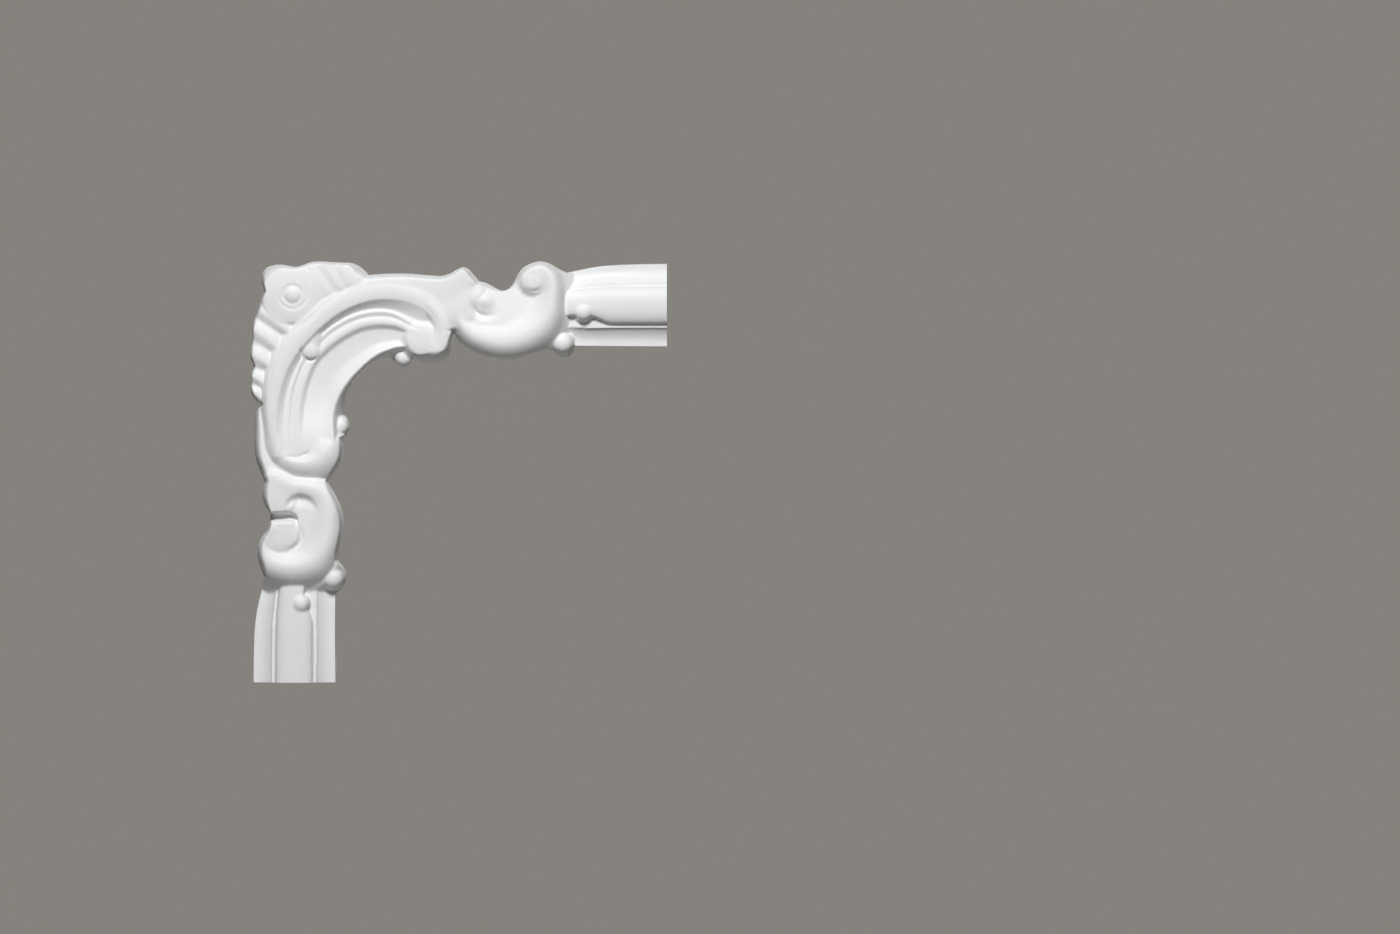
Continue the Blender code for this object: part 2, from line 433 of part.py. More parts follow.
def c_ends(height, plan):
    """The great C's two ends, where the rim curls round an eye."""
    right = ridge(plan, [(66, 6.6, 22.6, 8, 4), (74, 4, 22.9, 8, 4), (81, -0.6, 23, 8, 4),
                         (86.4, -7, 23, 6, 4),
                         (88.8, -15, 22.8, 5, 4), (88, -22.6, 22.4, 5.4, 4), (84, -27.4, 21.6, 7, 4),
                         (77, -28.4, 18.6, 6, 4)],
                  (2.2, 0.9), (2, 0))
    height = join(height, right, 0.8)
    height = join(height, dome(plan, (76.2, -20.4), 10, 21.8, 0.2), 2.4)
    
    lower = ridge(plan, [(-12.6, -70, 22.2, 4, 5.4), (-12, -77, 22.5, 4, 6.4), (-10, -84, 22.6, 4, 7.6),
                         (-5.6, -89.8, 22.8, 4, 8.6),
                         (1.6, -93.2, 23.2, 4, 9), (8.6, -93.6, 23.4, 4, 10), (15, -91, 23.4, 5, 11),
                         (19.6, -86, 23.2, 6, 10), (22, -80.4, 21.6, 6, 8), (22.4, -75, 17, 5, 6)],
                         (1.2, 5.4), (0, 2.1))
    height = join(height, lower, 0.8)
    return hollow(height, plan, [(-5.6, -88.4, 0.1, 1, 1.6), (-3, -88.9, 1.4, 1.1, 3),
                                 (1, -89.3, 2, 1.2, 3.4),
                                 (5, -88.8, 1.6, 1, 3.4), (8.4, -86, 0.7, 1.4, 3),
                                 (10.2, -81.4, 0.5, 1.6, 3),
                                 (10.4, -77, 0.1, 1.6, 2)], -1)


def relief(plan):
    """Height of the carved face above the wall at plan points (x, z), before its sides are rounded off."""
    x, z = plan.T
    outer_edge = [(160, 19), (162, 19.5), (170, 21.3), (180, 23.1), (190, 24), (205, 24.6), (221.4, 24.8)]
    left_edge = [(161, 18.2), (168.5, 19.8), (176, 21.6), (184, 23.1), (192, 24), (206, 24.6), (224, 24.8)]
    height = join(stub(x, z, outer_edge), stub(-z, -x, left_edge), 0.1)
    height = np.maximum(height, np.where((x > 170) | (z < -170), LOW, 5.0))
    along_top, down_side = strands(plan)
    height = join(height, along_top)
    height = join(height, shell_crest(plan), 0.6)
    arc, carved = great_c(plan)
    height = carved * arc + (1 - carved) * join(height, arc, 0.6)
    height = join(height, down_side, 0.6)
    height = c_ends(height, plan)
    height = groove(height, plan, [(34, 11, 0.2, 2.4, 2.4), (25, 5, 0.6, 2.4, 2.4),
                                   (17, -1, 0.8, 2.4, 2.4),
                                   (9, -9, 0.8, 2.4, 2.4), (2, -14, 0.7, 2.4, 2.4),
                                   (-4, -19.6, 0.6, 2.4, 2.4),
                                   (-9, -29, 0.6, 2.4, 2.4), (-12.6, -39, 0.6, 2.2, 2.2),
                                   (-15.4, -50, 0.3, 2, 2)])
    tongue = ridge(plan, [(13, -16, 21.2, 3.6, 3.6), (11.4, -21, 21.3, 4.4, 4.4),
                          (10.4, -26.6, 21.3, 4.6, 4.4)],
                   (1.8, 1.6))
    height = join(height, tongue, 1.2)
    height = join(height, dome(plan, (10.2, -27.4), 5, 21.5, 0.4), 1)
    height = groove(height, plan, [(7, -31, 0.2, 0.8, 0.8), (9, -32.4, 1.8, 1, 1),
                                   (11.6, -32.6, 1.8, 1, 1),
                                   (14, -31.2, 0.2, 0.8, 0.8)])
    height = groove(height, plan, [(5, -24.6, 0.2, 0.8, 0.8), (4.6, -28, 2, 1, 1),
                                   (4.8, -31.4, 0.2, 0.8, 0.8)])
    leaf = ridge(plan, [(8, -167.6, 12.6, 2.4, 3), (15, -163.4, 14.6, 2.4, 3), (21, -157.6, 15.6, 2.4, 3),
                        (25.4, -152.4, 15.4, 2, 2)], (0.6, 1))
    height = join(height, leaf, 0.3)
    height = join(height, lying_scroll(plan))
    height = join(height, hanging_scroll(plan))
    beads = [((159.4, -22.4), 6.2, 16.4), ((65, -31), 5.2, 15), ((27, -71.6), 5.6, 15), ((22.8, -162),
                                                                                         6.4, 16.4),
             ((172, -4.2), 5.3, 19), ((4, -177.2), 5.3, 19)]
    for centre, radius, top in beads:
        height = join(height, bead(plan, centre, radius, top), 1)
    return height


def rounded_sides(plan, height):
    """Brings the surface down to the wall along both edges, over each edge's own shoulder."""
    for stretches in (OUTER_EDGE, INNER_EDGE):
        inward, _, (shoulder,) = beside(plan, edge_line(stretches), 8)
        height = height * quarter_round(1 - np.clip(inward / shoulder, 0, 1), 1.0)
    return height


def matched_edges(spacing):
    """Both edges at stations that face each other across the piece, about spacing apart."""
    runs = []
    for side, stretches in enumerate((OUTER_EDGE, INNER_EDGE)):
        line = edge_line(stretches)[:, :2]
        length = np.concatenate([[0], np.cumsum(np.hypot(*np.diff(line, axis=0).T))])
        marks = nearest(line, np.array([pair[side] for pair in FACING], float))
        runs.append((line, length, length[marks]))
    counts = [math.ceil(max(steps) / spacing) for steps in zip(*(np.diff(at) for _, _, at in runs))]
    edges = []
    for line, length, at in runs:
        pieces = [np.linspace(a, b, n, endpoint=False) for a, b, n in zip(at, at[1:], counts)]
        where = np.concatenate(pieces + [at[-1:]])
        edges.append(np.column_stack([np.interp(where, length, column) for column in line.T]))
    return edges


def columns(first_steps, count):
    """Shares of the way across the piece, closer together along both edges."""
    near_edge = np.array(first_steps) / (2 * HALF_WIDTH)
    middle = np.linspace(near_edge[-1], 1 - near_edge[-1], count)
    return np.concatenate([near_edge[:-1], middle, 1 - near_edge[-2::-1]])


def carved_block(spacing, first_steps, count):
    """The closed casting: a net of points over the carved face, and the flat back behind it."""
    outer, inner = matched_edges(spacing)
    share = columns(first_steps, count)[:, None]
    plan = (outer[:, None] * (1 - share) + inner[:, None] * share).reshape(-1, 2)
    height = rounded_sides(plan, relief(plan)).reshape(len(outer), len(share))
    height[:, [0, -1]] = 0
    shape = bmesh.new()
    points = [shape.verts.new((x * MM, -h * MM, z * MM)) for (x, z), h in zip(plan, height.ravel())]
    rows = [points[i:i + len(share)] for i in range(0, len(points), len(share))]
    for this, below in zip(rows, rows[1:]):
        for j in range(len(share) - 1):
            shape.faces.new((this[j], this[j + 1], below[j + 1], below[j]))
        shape.faces.new((this[-1], this[0], below[0], below[-1]))
    shape.faces.new(rows[0][::-1])
    shape.faces.new(rows[-1])
    bmesh.ops.recalc_face_normals(shape, faces=shape.faces)
    return shape


def white_primer():
    material = bpy.data.materials.new("white_primed_polyurethane")
    material.use_nodes = True
    shader = material.node_tree.nodes["Principled BSDF"]
    shader.inputs["Base Color"].default_value = (0.83, 0.82, 0.80, 1)
    shader.inputs["Roughness"].default_value = 0.55
    shader.inputs["Metallic"].default_value = 0
    return material


def flatten(mesh):
    """Sets the points of the back and of the two cut ends exactly on their planes."""
    cuts = ((0, OUTER_EDGE[0][0][0] * MM), (1, 0.0), (2, OUTER_EDGE[-1][-1][1] * MM))
    for vertex in mesh.vertices:
        for axis, plane in cuts:
            if abs(vertex.co[axis] - plane) < 0.05 * MM:
                vertex.co[axis] = plane


for leftover in list(bpy.data.objects):
    bpy.data.objects.remove(leftover)
collection = bpy.data.collections.new("frieze_moulding_corner")
bpy.context.scene.collection.children.link(collection)

mesh = bpy.data.meshes.new("frieze_corner")
shape = carved_block(1.7, FIRST_STEPS, COLUMNS)
shape.to_mesh(mesh)
shape.free()
corner = bpy.data.objects.new("frieze_corner", mesh)
collection.objects.link(corner)

# The close net is thinned where the face is plain, so that the carving keeps most of the faces
thin = corner.modifiers.new("thin", "DECIMATE")
thin.ratio = MOST_FACES / (2 * len(mesh.polygons))
thin.use_collapse_triangulate = True
evaluated = corner.evaluated_get(bpy.context.evaluated_depsgraph_get())
thinned = bpy.data.meshes.new_from_object(evaluated)
corner.modifiers.clear()
corner.data = thinned
flatten(thinned)
thinned.name = "frieze_corner"
thinned.materials.append(white_primer())
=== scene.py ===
"""Looks of the frieze moulding corner: fine carving, primed white finish, stage, light and camera."""

import math

import bmesh
import bpy
import numpy as np
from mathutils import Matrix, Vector
from mathutils.kdtree import KDTree


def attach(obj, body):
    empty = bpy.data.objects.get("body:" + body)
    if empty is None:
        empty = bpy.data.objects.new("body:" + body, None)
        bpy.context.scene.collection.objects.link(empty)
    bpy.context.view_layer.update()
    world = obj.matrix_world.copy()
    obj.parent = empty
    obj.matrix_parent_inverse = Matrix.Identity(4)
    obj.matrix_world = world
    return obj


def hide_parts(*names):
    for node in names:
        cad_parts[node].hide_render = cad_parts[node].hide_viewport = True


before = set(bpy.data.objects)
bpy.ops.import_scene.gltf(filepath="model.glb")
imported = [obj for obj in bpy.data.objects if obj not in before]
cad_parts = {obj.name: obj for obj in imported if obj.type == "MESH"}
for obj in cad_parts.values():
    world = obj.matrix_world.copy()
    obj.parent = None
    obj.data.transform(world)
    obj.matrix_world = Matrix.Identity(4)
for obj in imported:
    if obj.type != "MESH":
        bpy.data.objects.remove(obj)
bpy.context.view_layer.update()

# The corner itself: one casting of rigid polyurethane, primed white, with its back left as moulded.
# It is glued to the wall by its flat back. The carved face is worked out as a close net of points, with
# plan sizes in millimetres, seen from the front, from where the legs' centrelines cross.
MM = 0.001
HALF_WIDTH = 25.0      # half of the 50 mm moulding
EDGE_HEIGHT = 7.0      # thickness at the moulding's outer edges
FILLET_HEIGHT = 11.6   # the flat fillets beside the middle torus
CROWN_HEIGHT = 17.2    # crown of the torus
FILLET_OUT = 13.7      # the fillets lie between these distances from the centreline
FILLET_IN = 11.6
RIM_HEIGHT = 23.0      # rim of the great C
SCROLL_HEIGHT = 24.4   # crests of the two scrolls
ARC_CENTRE = np.array((72.0, -78.0))
LOW = -100.0           # height given to a plan point that a form doesn't cover
END_Z = -224.1         # the lower end
STATION_SPACING = 0.7  # between the rows of points that cross the piece
FIRST_STEPS = (0, 0.12, 0.3, 0.55, 0.9, 1.4, 2.0)   # columns along an edge, distance in from it
COLUMNS = 96           # evenly spaced columns between those

# The two edges as plan points (x, z, shoulder), from the right-hand end round the corner to the
# lower end. The shoulder is how far in from the edge its drafted, rounded side reaches.
# A sharp corner lies between two stretches.
OUTER_EDGE = [
    [(221.4, 24.8, 0.6), (205, 24.6, 0.6), (190, 24, 0.6), (180, 23.1, 0.7), (170, 21.3, 0.9),
     (162, 19.5, 1.2)],
    [(162, 19.5, 1.2), (158.5, 21, 3), (155, 23, 4), (151, 25.2, 4), (147, 26.2, 4), (142, 25.5, 4),
     (138, 23.8, 4), (134.5, 21, 4), (132, 17, 3), (129.5, 12.3, 2.2), (127, 9.7, 1.6), (124, 8.8, 1.5),
     (121.5, 9.3, 2), (118, 11.2, 3), (114, 13.3, 3.6), (109.5, 14.5, 3.6)],
    [(109.5, 14.5, 3), (106.5, 18.2, 3.4), (103.5, 21.5, 3), (100.5, 22.7, 2.6), (97.5, 21.8, 2.6),
     (93, 19.2, 3), (88, 17.7, 3.4), (80, 18, 3.6), (70, 18.8, 3.6), (60, 19, 3.6), (50, 18.6, 3.6),
     (44, 18.1, 3.6)],
    [(44, 18.1, 4), (41.5, 20.8, 6), (38, 23.6, 5), (34, 25.2, 3), (29, 25.5, 2.4), (22, 25.8, 2.4),
     (15, 26.2, 2.4), (10, 25.8, 2.6), (5.5, 24.2, 2.4), (1.5, 23, 2.2), (-3, 23.5, 2.4), (-8, 24.3, 3),
     (-13, 23.9, 3.4), (-17, 22.3, 3.4), (-19.4, 19, 3), (-19.2, 13, 2.6), (-17.8, 8, 2)],
    [(-17.8, 8, 2), (-19.8, 4, 2.6), (-22, -2.5, 3), (-24.3, -9, 2.4)],
    [(-24.3, -9, 2.4), (-25, -14, 2), (-25, -20, 2)],
    [(-25, -20, 2), (-26, -25.5, 2.2), (-26.2, -31, 2.4), (-24.3, -36.6, 2.2)],
    [(-24.3, -36.6, 2.2), (-25.8, -41, 2), (-26.1, -45.5, 2)],
    [(-26.1, -45.5, 2), (-26.2, -50, 2.2), (-25, -54.4, 2.6), (-22.6, -57.4, 2.4), (-19.6, -59, 1.6)],
    [(-19.6, -59, 1.6), (-22, -61.2, 2.4), (-23.2, -64, 3.4), (-23.8, -69, 4.2), (-24.1, -75, 5),
     (-24, -85, 5), (-23, -92, 5), (-20.8, -98, 5), (-18.2, -105, 4.6)],
    [(-18.2, -105, 4.6), (-19.2, -110, 5), (-19.2, -114.5, 5), (-17.6, -119, 4), (-14.6, -123.4, 2)],
    [(-14.6, -123.4, 2), (-14.6, -129.5, 2)],
    [(-14.6, -129.5, 2), (-16.4, -133.8, 3), (-19.4, -137.4, 4), (-21.6, -141.4, 5), (-22.3, -146.5, 5),
     (-21.8, -151.5, 5), (-20.2, -156.5, 4.6), (-18.4, -161.5, 3)],
    [(-18.4, -161.5, 1.2), (-19.8, -168.5, 0.9), (-21.6, -176, 0.7), (-23.1, -184, 0.6), (-24, -192, 0.6),
     (-24.6, -206, 0.6), (-24.8, -224.1, 0.6)],
]
INNER_EDGE = [
    [(221.4, -25, 0.6), (190, -24.8, 0.6), (166.6, -24.6, 0.6)],
    [(166.6, -24.6, 0.8), (165.4, -28, 1), (162.6, -30.4, 1), (159, -31, 1), (155.6, -29.4, 1),
     (153.6, -27, 1)],
    [(153.6, -27, 1), (150, -26.9, 1.8), (144, -28.4, 2), (138, -30.4, 2.2), (132, -32, 2.2),
     (125, -32.6, 2.2), (117, -31.8, 2.2), (109, -29.4, 2.2), (102, -25.6, 2.2), (97.5, -21.6, 2.4),
     (94.6, -16, 1.6)],
    [(94.6, -16, 1.4), (94.1, -21, 2.6), (93.2, -27, 4), (91, -31, 5.6), (86.5, -33.6, 6.2),
     (80, -34.2, 6.2), (74, -33.6, 4.6), (70.8, -32.4, 2.4)],
    [(70.8, -32.4, 0.8), (69.6, -34.4, 1), (67.2, -36.2, 1), (64.5, -36.9, 1), (61.6, -35.8, 1),
     (59.4, -33.4, 0.8)],
    [(59.4, -33.4, 0.8), (54, -31.6, 0.8), (48.6, -33, 0.8), (43, -36.8, 0.8), (38, -41.4, 0.8),
     (34, -47, 0.8), (31.2, -53, 0.8), (29.4, -59.5, 0.8), (29.2, -65, 0.8)],
    [(29.2, -65, 0.8), (31.4, -67.4, 1), (32.6, -71, 1), (32.4, -74.6, 1), (30.8, -77.4, 1),
     (28, -79.2, 0.9)],
    [(28, -79.2, 0.9), (28.9, -82.4, 2), (29, -86, 2.2), (28.4, -91, 2.4), (26, -96.4, 2.4),
     (22.8, -101, 2.2), (20, -104.8, 1.4)],
    [(20, -104.8, 1.4), (22.4, -109.4, 2.2), (25, -114.4, 2.4), (27.6, -120.4, 2.4), (29, -127, 2.4),
     (29, -134, 2.4), (27.8, -141, 2.4), (26.2, -147.4, 2.2), (25.6, -151.6, 1.4)],
    [(25.6, -151.6, 1), (28.4, -155, 1.1), (30.6, -159.4, 1.1), (30.4, -164, 1.1), (28.2, -168.2, 1),
     (24.8, -171.4, 0.8)],
    [(24.8, -171.4, 0.6), (24.6, -186, 0.6), (24.9, -224.1, 0.6)],
]
# Plan points of the two edges that face each other across the piece.
FACING = [
    ((221.4, 24.8), (221.4, -25)), ((190, 24), (190, -24.8)), ((170, 21.3), (166.6, -24.6)),
    ((162, 19.5), (153.6, -27)), ((147, 26.2), (144, -28.4)), ((134.5, 21), (132, -32)),
    ((124, 8.8), (125, -32.6)), ((109.5, 14.5), (109, -29.4)), ((100.5, 22.7), (97.5, -21.6)),
    ((96.4, 21.3), (94.6, -16)), ((84, 17.8), (93.2, -27)), ((77, 18.2), (86.5, -33.6)),
    ((68, 18.9), (70.8, -32.4)), ((60, 19), (59.4, -33.4)), ((44, 18.1), (52, -31.9)),
    ((15, 26.2), (45, -35.3)), ((-19.3, 17), (40, -39.4)), ((-24.3, -9), (36, -43.8)),
    ((-25, -20), (34, -47)), ((-24.3, -36.6), (31.2, -53)), ((-19.6, -59), (29.2, -65)),
    ((-24.1, -72), (28, -79.2)), ((-18.2, -105), (20, -104.8)), ((-14.6, -123.4), (28.4, -124)),
    ((-14.6, -129.5), (29.1, -131)), ((-22.3, -146.5), (25.6, -151.6)), ((-18.4, -161.5), (30.4, -164)),
    ((-20.2, -170.8), (24.8, -171.4)), ((-24.8, -224.1), (24.9, -224.1)),
]


def nearest(line, plan):
    """For each plan point, the number of the line's sample that lies nearest to it."""
    tree = KDTree(len(line))
    for i, (x, z) in enumerate(line):
        tree.insert((x, z, 0), i)
    tree.balance()
    return np.array([tree.find((x, z, 0))[1] for x, z in plan], int)


def smooth_curve(points, step):
    """Samples of a smooth curve through given points; values past x and z are carried along."""
    points = np.array(points, float)
    chord = np.hypot(*np.diff(points[:, :2], axis=0).T)
    knot = np.concatenate([[0], np.cumsum(chord)])
    slope = np.diff(points, axis=0) / chord[:, None]
    near = (chord[:-1] / (chord[1:] + chord[:-1]))[:, None]
    tangent = np.vstack([slope[:1], slope[:-1] * (1 - near) + slope[1:] * near, slope[-1:]])
    at = np.linspace(0, knot[-1], max(2, math.ceil(knot[-1] / step) + 1))
    i = np.clip(np.searchsorted(knot, at, side="right") - 1, 0, len(chord) - 1)
    f = ((at - knot[i]) / chord[i])[:, None]
    reach = chord[i][:, None]
    return ((2 * f**3 - 3 * f**2 + 1) * points[i] + (f**3 - 2 * f**2 + f) * reach * tangent[i]
            + (3 * f**2 - 2 * f**3) * points[i + 1] + (f**3 - f**2) * reach * tangent[i + 1])


def edge_line(stretches, step=0.25):
    """One edge of the piece as close samples (x, z, shoulder)."""
    return np.vstack([smooth_curve(points, step)[min(k, 1):] for k, points in enumerate(stretches)])


def beside(plan, line, reach):
    """For each plan point: its distance from a line, the side it lies on (1 left of the line's run,
    -1 right, and in between round its ends), and the line's values there."""
    line = line if isinstance(line, np.ndarray) else smooth_curve(line, 0.4)
    distance = np.full(len(plan), 1e3)
    side = np.zeros(len(plan))
    along = np.zeros(len(plan))
    low, high = line[:, :2].min(0) - reach, line[:, :2].max(0) + reach
    close = np.flatnonzero(((plan > low) & (plan < high)).all(1))
    tangent = np.gradient(line[:, :2], axis=0)
    length = np.hypot(*tangent.T)
    tangent /= length[:, None]
    i = nearest(line[:, :2], plan[close])
    away = plan[close] - line[i, :2]
    ahead = (away * tangent[i]).sum(1)
    across = tangent[i, 0] * away[:, 1] - tangent[i, 1] * away[:, 0]
    past = ahead - np.clip(ahead, -length[i], length[i])
    distance[close] = np.hypot(across, past)
    side[close] = across / np.maximum(distance[close], 1e-9)
    along[close] = i + ahead / length[i]
    values = [np.interp(along, np.arange(len(line)), column) for column in line[:, 2:].T]
    return distance, side, values


def ease(t):
    """An S-shaped rise from 0 to 1, level at both ends."""
    t = np.clip(t, 0, 1)
    return t * t * (3 - 2 * t)


def join(a, b, softness=0.8):
    """The higher of two surfaces, with their crease filled over a small height."""
    gap = np.clip(1 - np.abs(a - b) / softness, 0, 1)
    return np.maximum(a, b) + softness * gap**2 / 4


def quarter_round(d, width, power=2.0):
    """1 at the crest and 0 at width, along a (super)ellipse."""
    return np.clip(1 - np.clip(d / width, 0, 1)**power, 0, 1)**(1 / power)


def dome(plan, centre, radius, top, drop, stretch=(1.0, 1.0)):
    """A round boss that has fallen by drop x radius at its edge, and runs on down beyond it."""
    q = np.hypot(*((plan - centre) / stretch).T) / radius
    within = np.clip(q, 0, 0.92)
    return top - radius * (drop * (1 - np.sqrt(1 - within**2)) + 1.5 * np.clip(q - 0.92, 0, 3))


def bead(plan, centre, radius, top):
    """A round bead with steep sides."""
    q = np.hypot(*(plan - centre).T) / radius
    within = np.clip(q, 0, 0.97)
    return top - radius * (0.95 * (1 - np.sqrt(1 - within**2.4)) + 4 * np.clip(q - 0.97, 0, 3))


def swell(plan, centre, radius, rise):
    """A soft round rise, to be added to a surface."""
    return rise * (1 - ease(np.hypot(*(plan - centre).T) / radius))


def ridge(plan, points, drops, rounds=(2, 2)):
    """A raised line: points are (x, z, crest, left width, right width). drops is how far the left and right
    flanks fall over those widths and rounds the power of their curve, or 0 for an S-shaped flank that
    ends level. Beyond its width a flank runs on down steeply."""
    d, side, (crest, left, right) = beside(plan, points, 12 + max(max(p[3:]) for p in points))
    height = crest.copy()
    for share, width, drop, power in zip((0.5 + side / 2, 0.5 - side / 2), (left, right), drops, rounds):
        t = np.clip(d / width, 0, 1)
        height -= share * (drop * (t**power if power else ease(t)) + 1.3 * np.clip(d - width, 0, None))
    return height


def groove(height, plan, points):
    """Cuts a soft line into the surface: points are (x, z, depth, left width, right width)."""
    d, side, (depth, left, right) = beside(plan, points, 1 + max(max(p[3:]) for p in points))
    t = np.clip(2 * d / (left + right + side * (left - right)), 0, 1)
    return height - depth * (1 - ease(t**0.9))


def hollow(height, plan, points, left):
    """A hollow that starts as a short wall along a line and rises gently away from it, to the line's
    left where left is 1 and to its right where it is -1. Points are (x, z, depth, wall width, width)."""
    d, side, (depth, wall, width) = beside(plan, points, 2 + max(p[4] for p in points))
    d = d * np.clip(side * left, 0, 1)
    return height - depth * ease(d / wall) * (1 - np.clip(d / width, 0, 1))**1.5


def moulding(s):
    """Height of the running moulding at a distance s from its centreline: cove, fillet, torus."""
    a = np.abs(s)
    t = (HALF_WIDTH - a) / (HALF_WIDTH - FILLET_OUT)
    cove = EDGE_HEIGHT + (FILLET_HEIGHT - 0.9 - EDGE_HEIGHT) * np.clip((t - 0.22) / 0.78, 0, 1)**2.1
    torus = FILLET_HEIGHT - 0.3 + (CROWN_HEIGHT - FILLET_HEIGHT + 0.3) * quarter_round(a, FILLET_IN, 2.3)
    torus = np.minimum(torus, FILLET_HEIGHT - 0.3 + 2.6 * np.clip(FILLET_IN - a, 0, None))
    return np.where(a > FILLET_OUT, cove, np.where(a > FILLET_IN, FILLET_HEIGHT, torus))


def stub(run, s, outer_edge):
    """One plain end of the moulding. run grows away from the scroll, s is + on the outer side; the outer
    half narrows with its edge, and the torus pulls in to a nose on the inner side near the scroll."""
    edge = np.interp(run, [p[0] for p in outer_edge], [p[1] for p in outer_edge])
    s = np.where(s > 0, s * HALF_WIDTH / edge, s)
    nose = np.interp(run, [176, 179, 182, 186, 189], [8.6, 9.2, 10, 11.2, FILLET_IN])
    s = np.where((s < 0) & (s > -nose), s * FILLET_IN / nose, s)
    s = np.where((s <= -nose) & (s > -FILLET_OUT), np.minimum(s, -FILLET_IN - 0.1), s)
    start, clear = 157, 163      # it starts sunk inside the scroll, and is clear of it further out
    return np.where(run > start, moulding(s) - 1.2 * np.clip(clear - run, 0, 9), LOW)


def bearing_and_radius(plan):
    """Polar place about the great C's centre: 0 degrees straight above it, 90 straight left."""
    away = plan - ARC_CENTRE
    return np.degrees(np.arctan2(-away[:, 0], away[:, 1])), np.hypot(*away.T)


def arc_line(points):
    """The radius, for any bearing, of a line of the great C drawn in plan."""
    bearing, radius = bearing_and_radius(smooth_curve(points, 0.5))
    order = np.argsort(bearing)
    return lambda at: np.interp(at, bearing[order], radius[order])


RIM_EDGE = arc_line([(84, -11), (82, -7), (78, -3), (70, 1), (60, 3.1), (53, 3.3), (45, 2.3), (35, -1),
                     (25, -6.5), (16, -14), (6, -24.5), (-1, -34), (-6, -46), (-9, -60), (-9.5, -70),
                     (-9, -78), (-7, -84)])
TROUGH = arc_line([(80, -12.5), (76, -10), (68, -6.5), (60, -3.5), (53, -2.4), (45, -2.8), (35, -5.5),
                   (25, -11), (17, -17), (7.5, -28.5), (1.5, -38), (-3, -50), (-4.8, -60), (-5.2, -70),
                   (-4.6, -80)])
NARROW_RIB = arc_line([(76, -13.6), (70, -11.5), (64, -7.5), (58, -4.8), (50, -4), (40, -5.5), (30, -9.5),
                       (22, -14.5), (16, -20), (5.5, -31.5), (2, -40), (-1, -50), (-2.4, -60),
                       (-2.6, -70), (-2, -80)])
VALLEY = arc_line([(76, -14.6), (70, -13), (64, -9.6), (58, -7.6), (50, -6.9), (40, -8.5), (30, -12.5),
                   (22, -17.5), (17, -22), (8.5, -32), (4, -41), (0.8, -50), (-0.6, -60), (-0.8, -70),
                   (0, -80)])
BROAD_RIB = arc_line([(76, -16.5), (70, -14.6), (64, -12.2), (58, -10.6), (50, -10), (40, -11.6),
                      (30, -16.4), (20, -23.8), (11.5, -33.5), (7.4, -42), (4.4, -50), (2.8, -60),
                      (2.6, -72), (3.4, -80)])
STEP_TOP = arc_line([(76, -18.5), (68, -15.6), (60, -12.6), (52, -11.8), (40, -13.6), (30, -18.6),
                     (20, -26), (13, -33.6), (9, -42), (6, -51), (4.4, -61), (4.2, -72), (5.4, -80)])
STEP_FOOT = arc_line([(76, -20.5), (68, -17.4), (60, -15.2), (52, -14.6), (40, -16.6), (30, -21.6),
                      (21, -28.4), (15, -34.5), (11, -43), (8, -53), (6.4, -62), (6.2, -75), (7.4, -80)])
ARRIS = arc_line([(80, -25.5), (72, -25), (62.5, -24.9), (56.5, -26.5), (50.6, -28.9), (44.6, -33),
                  (38.7, -38.4), (32.7, -44.9), (28.6, -50.9), (25.6, -57.4), (23.8, -64), (22.8, -71),
                  (23, -78)])


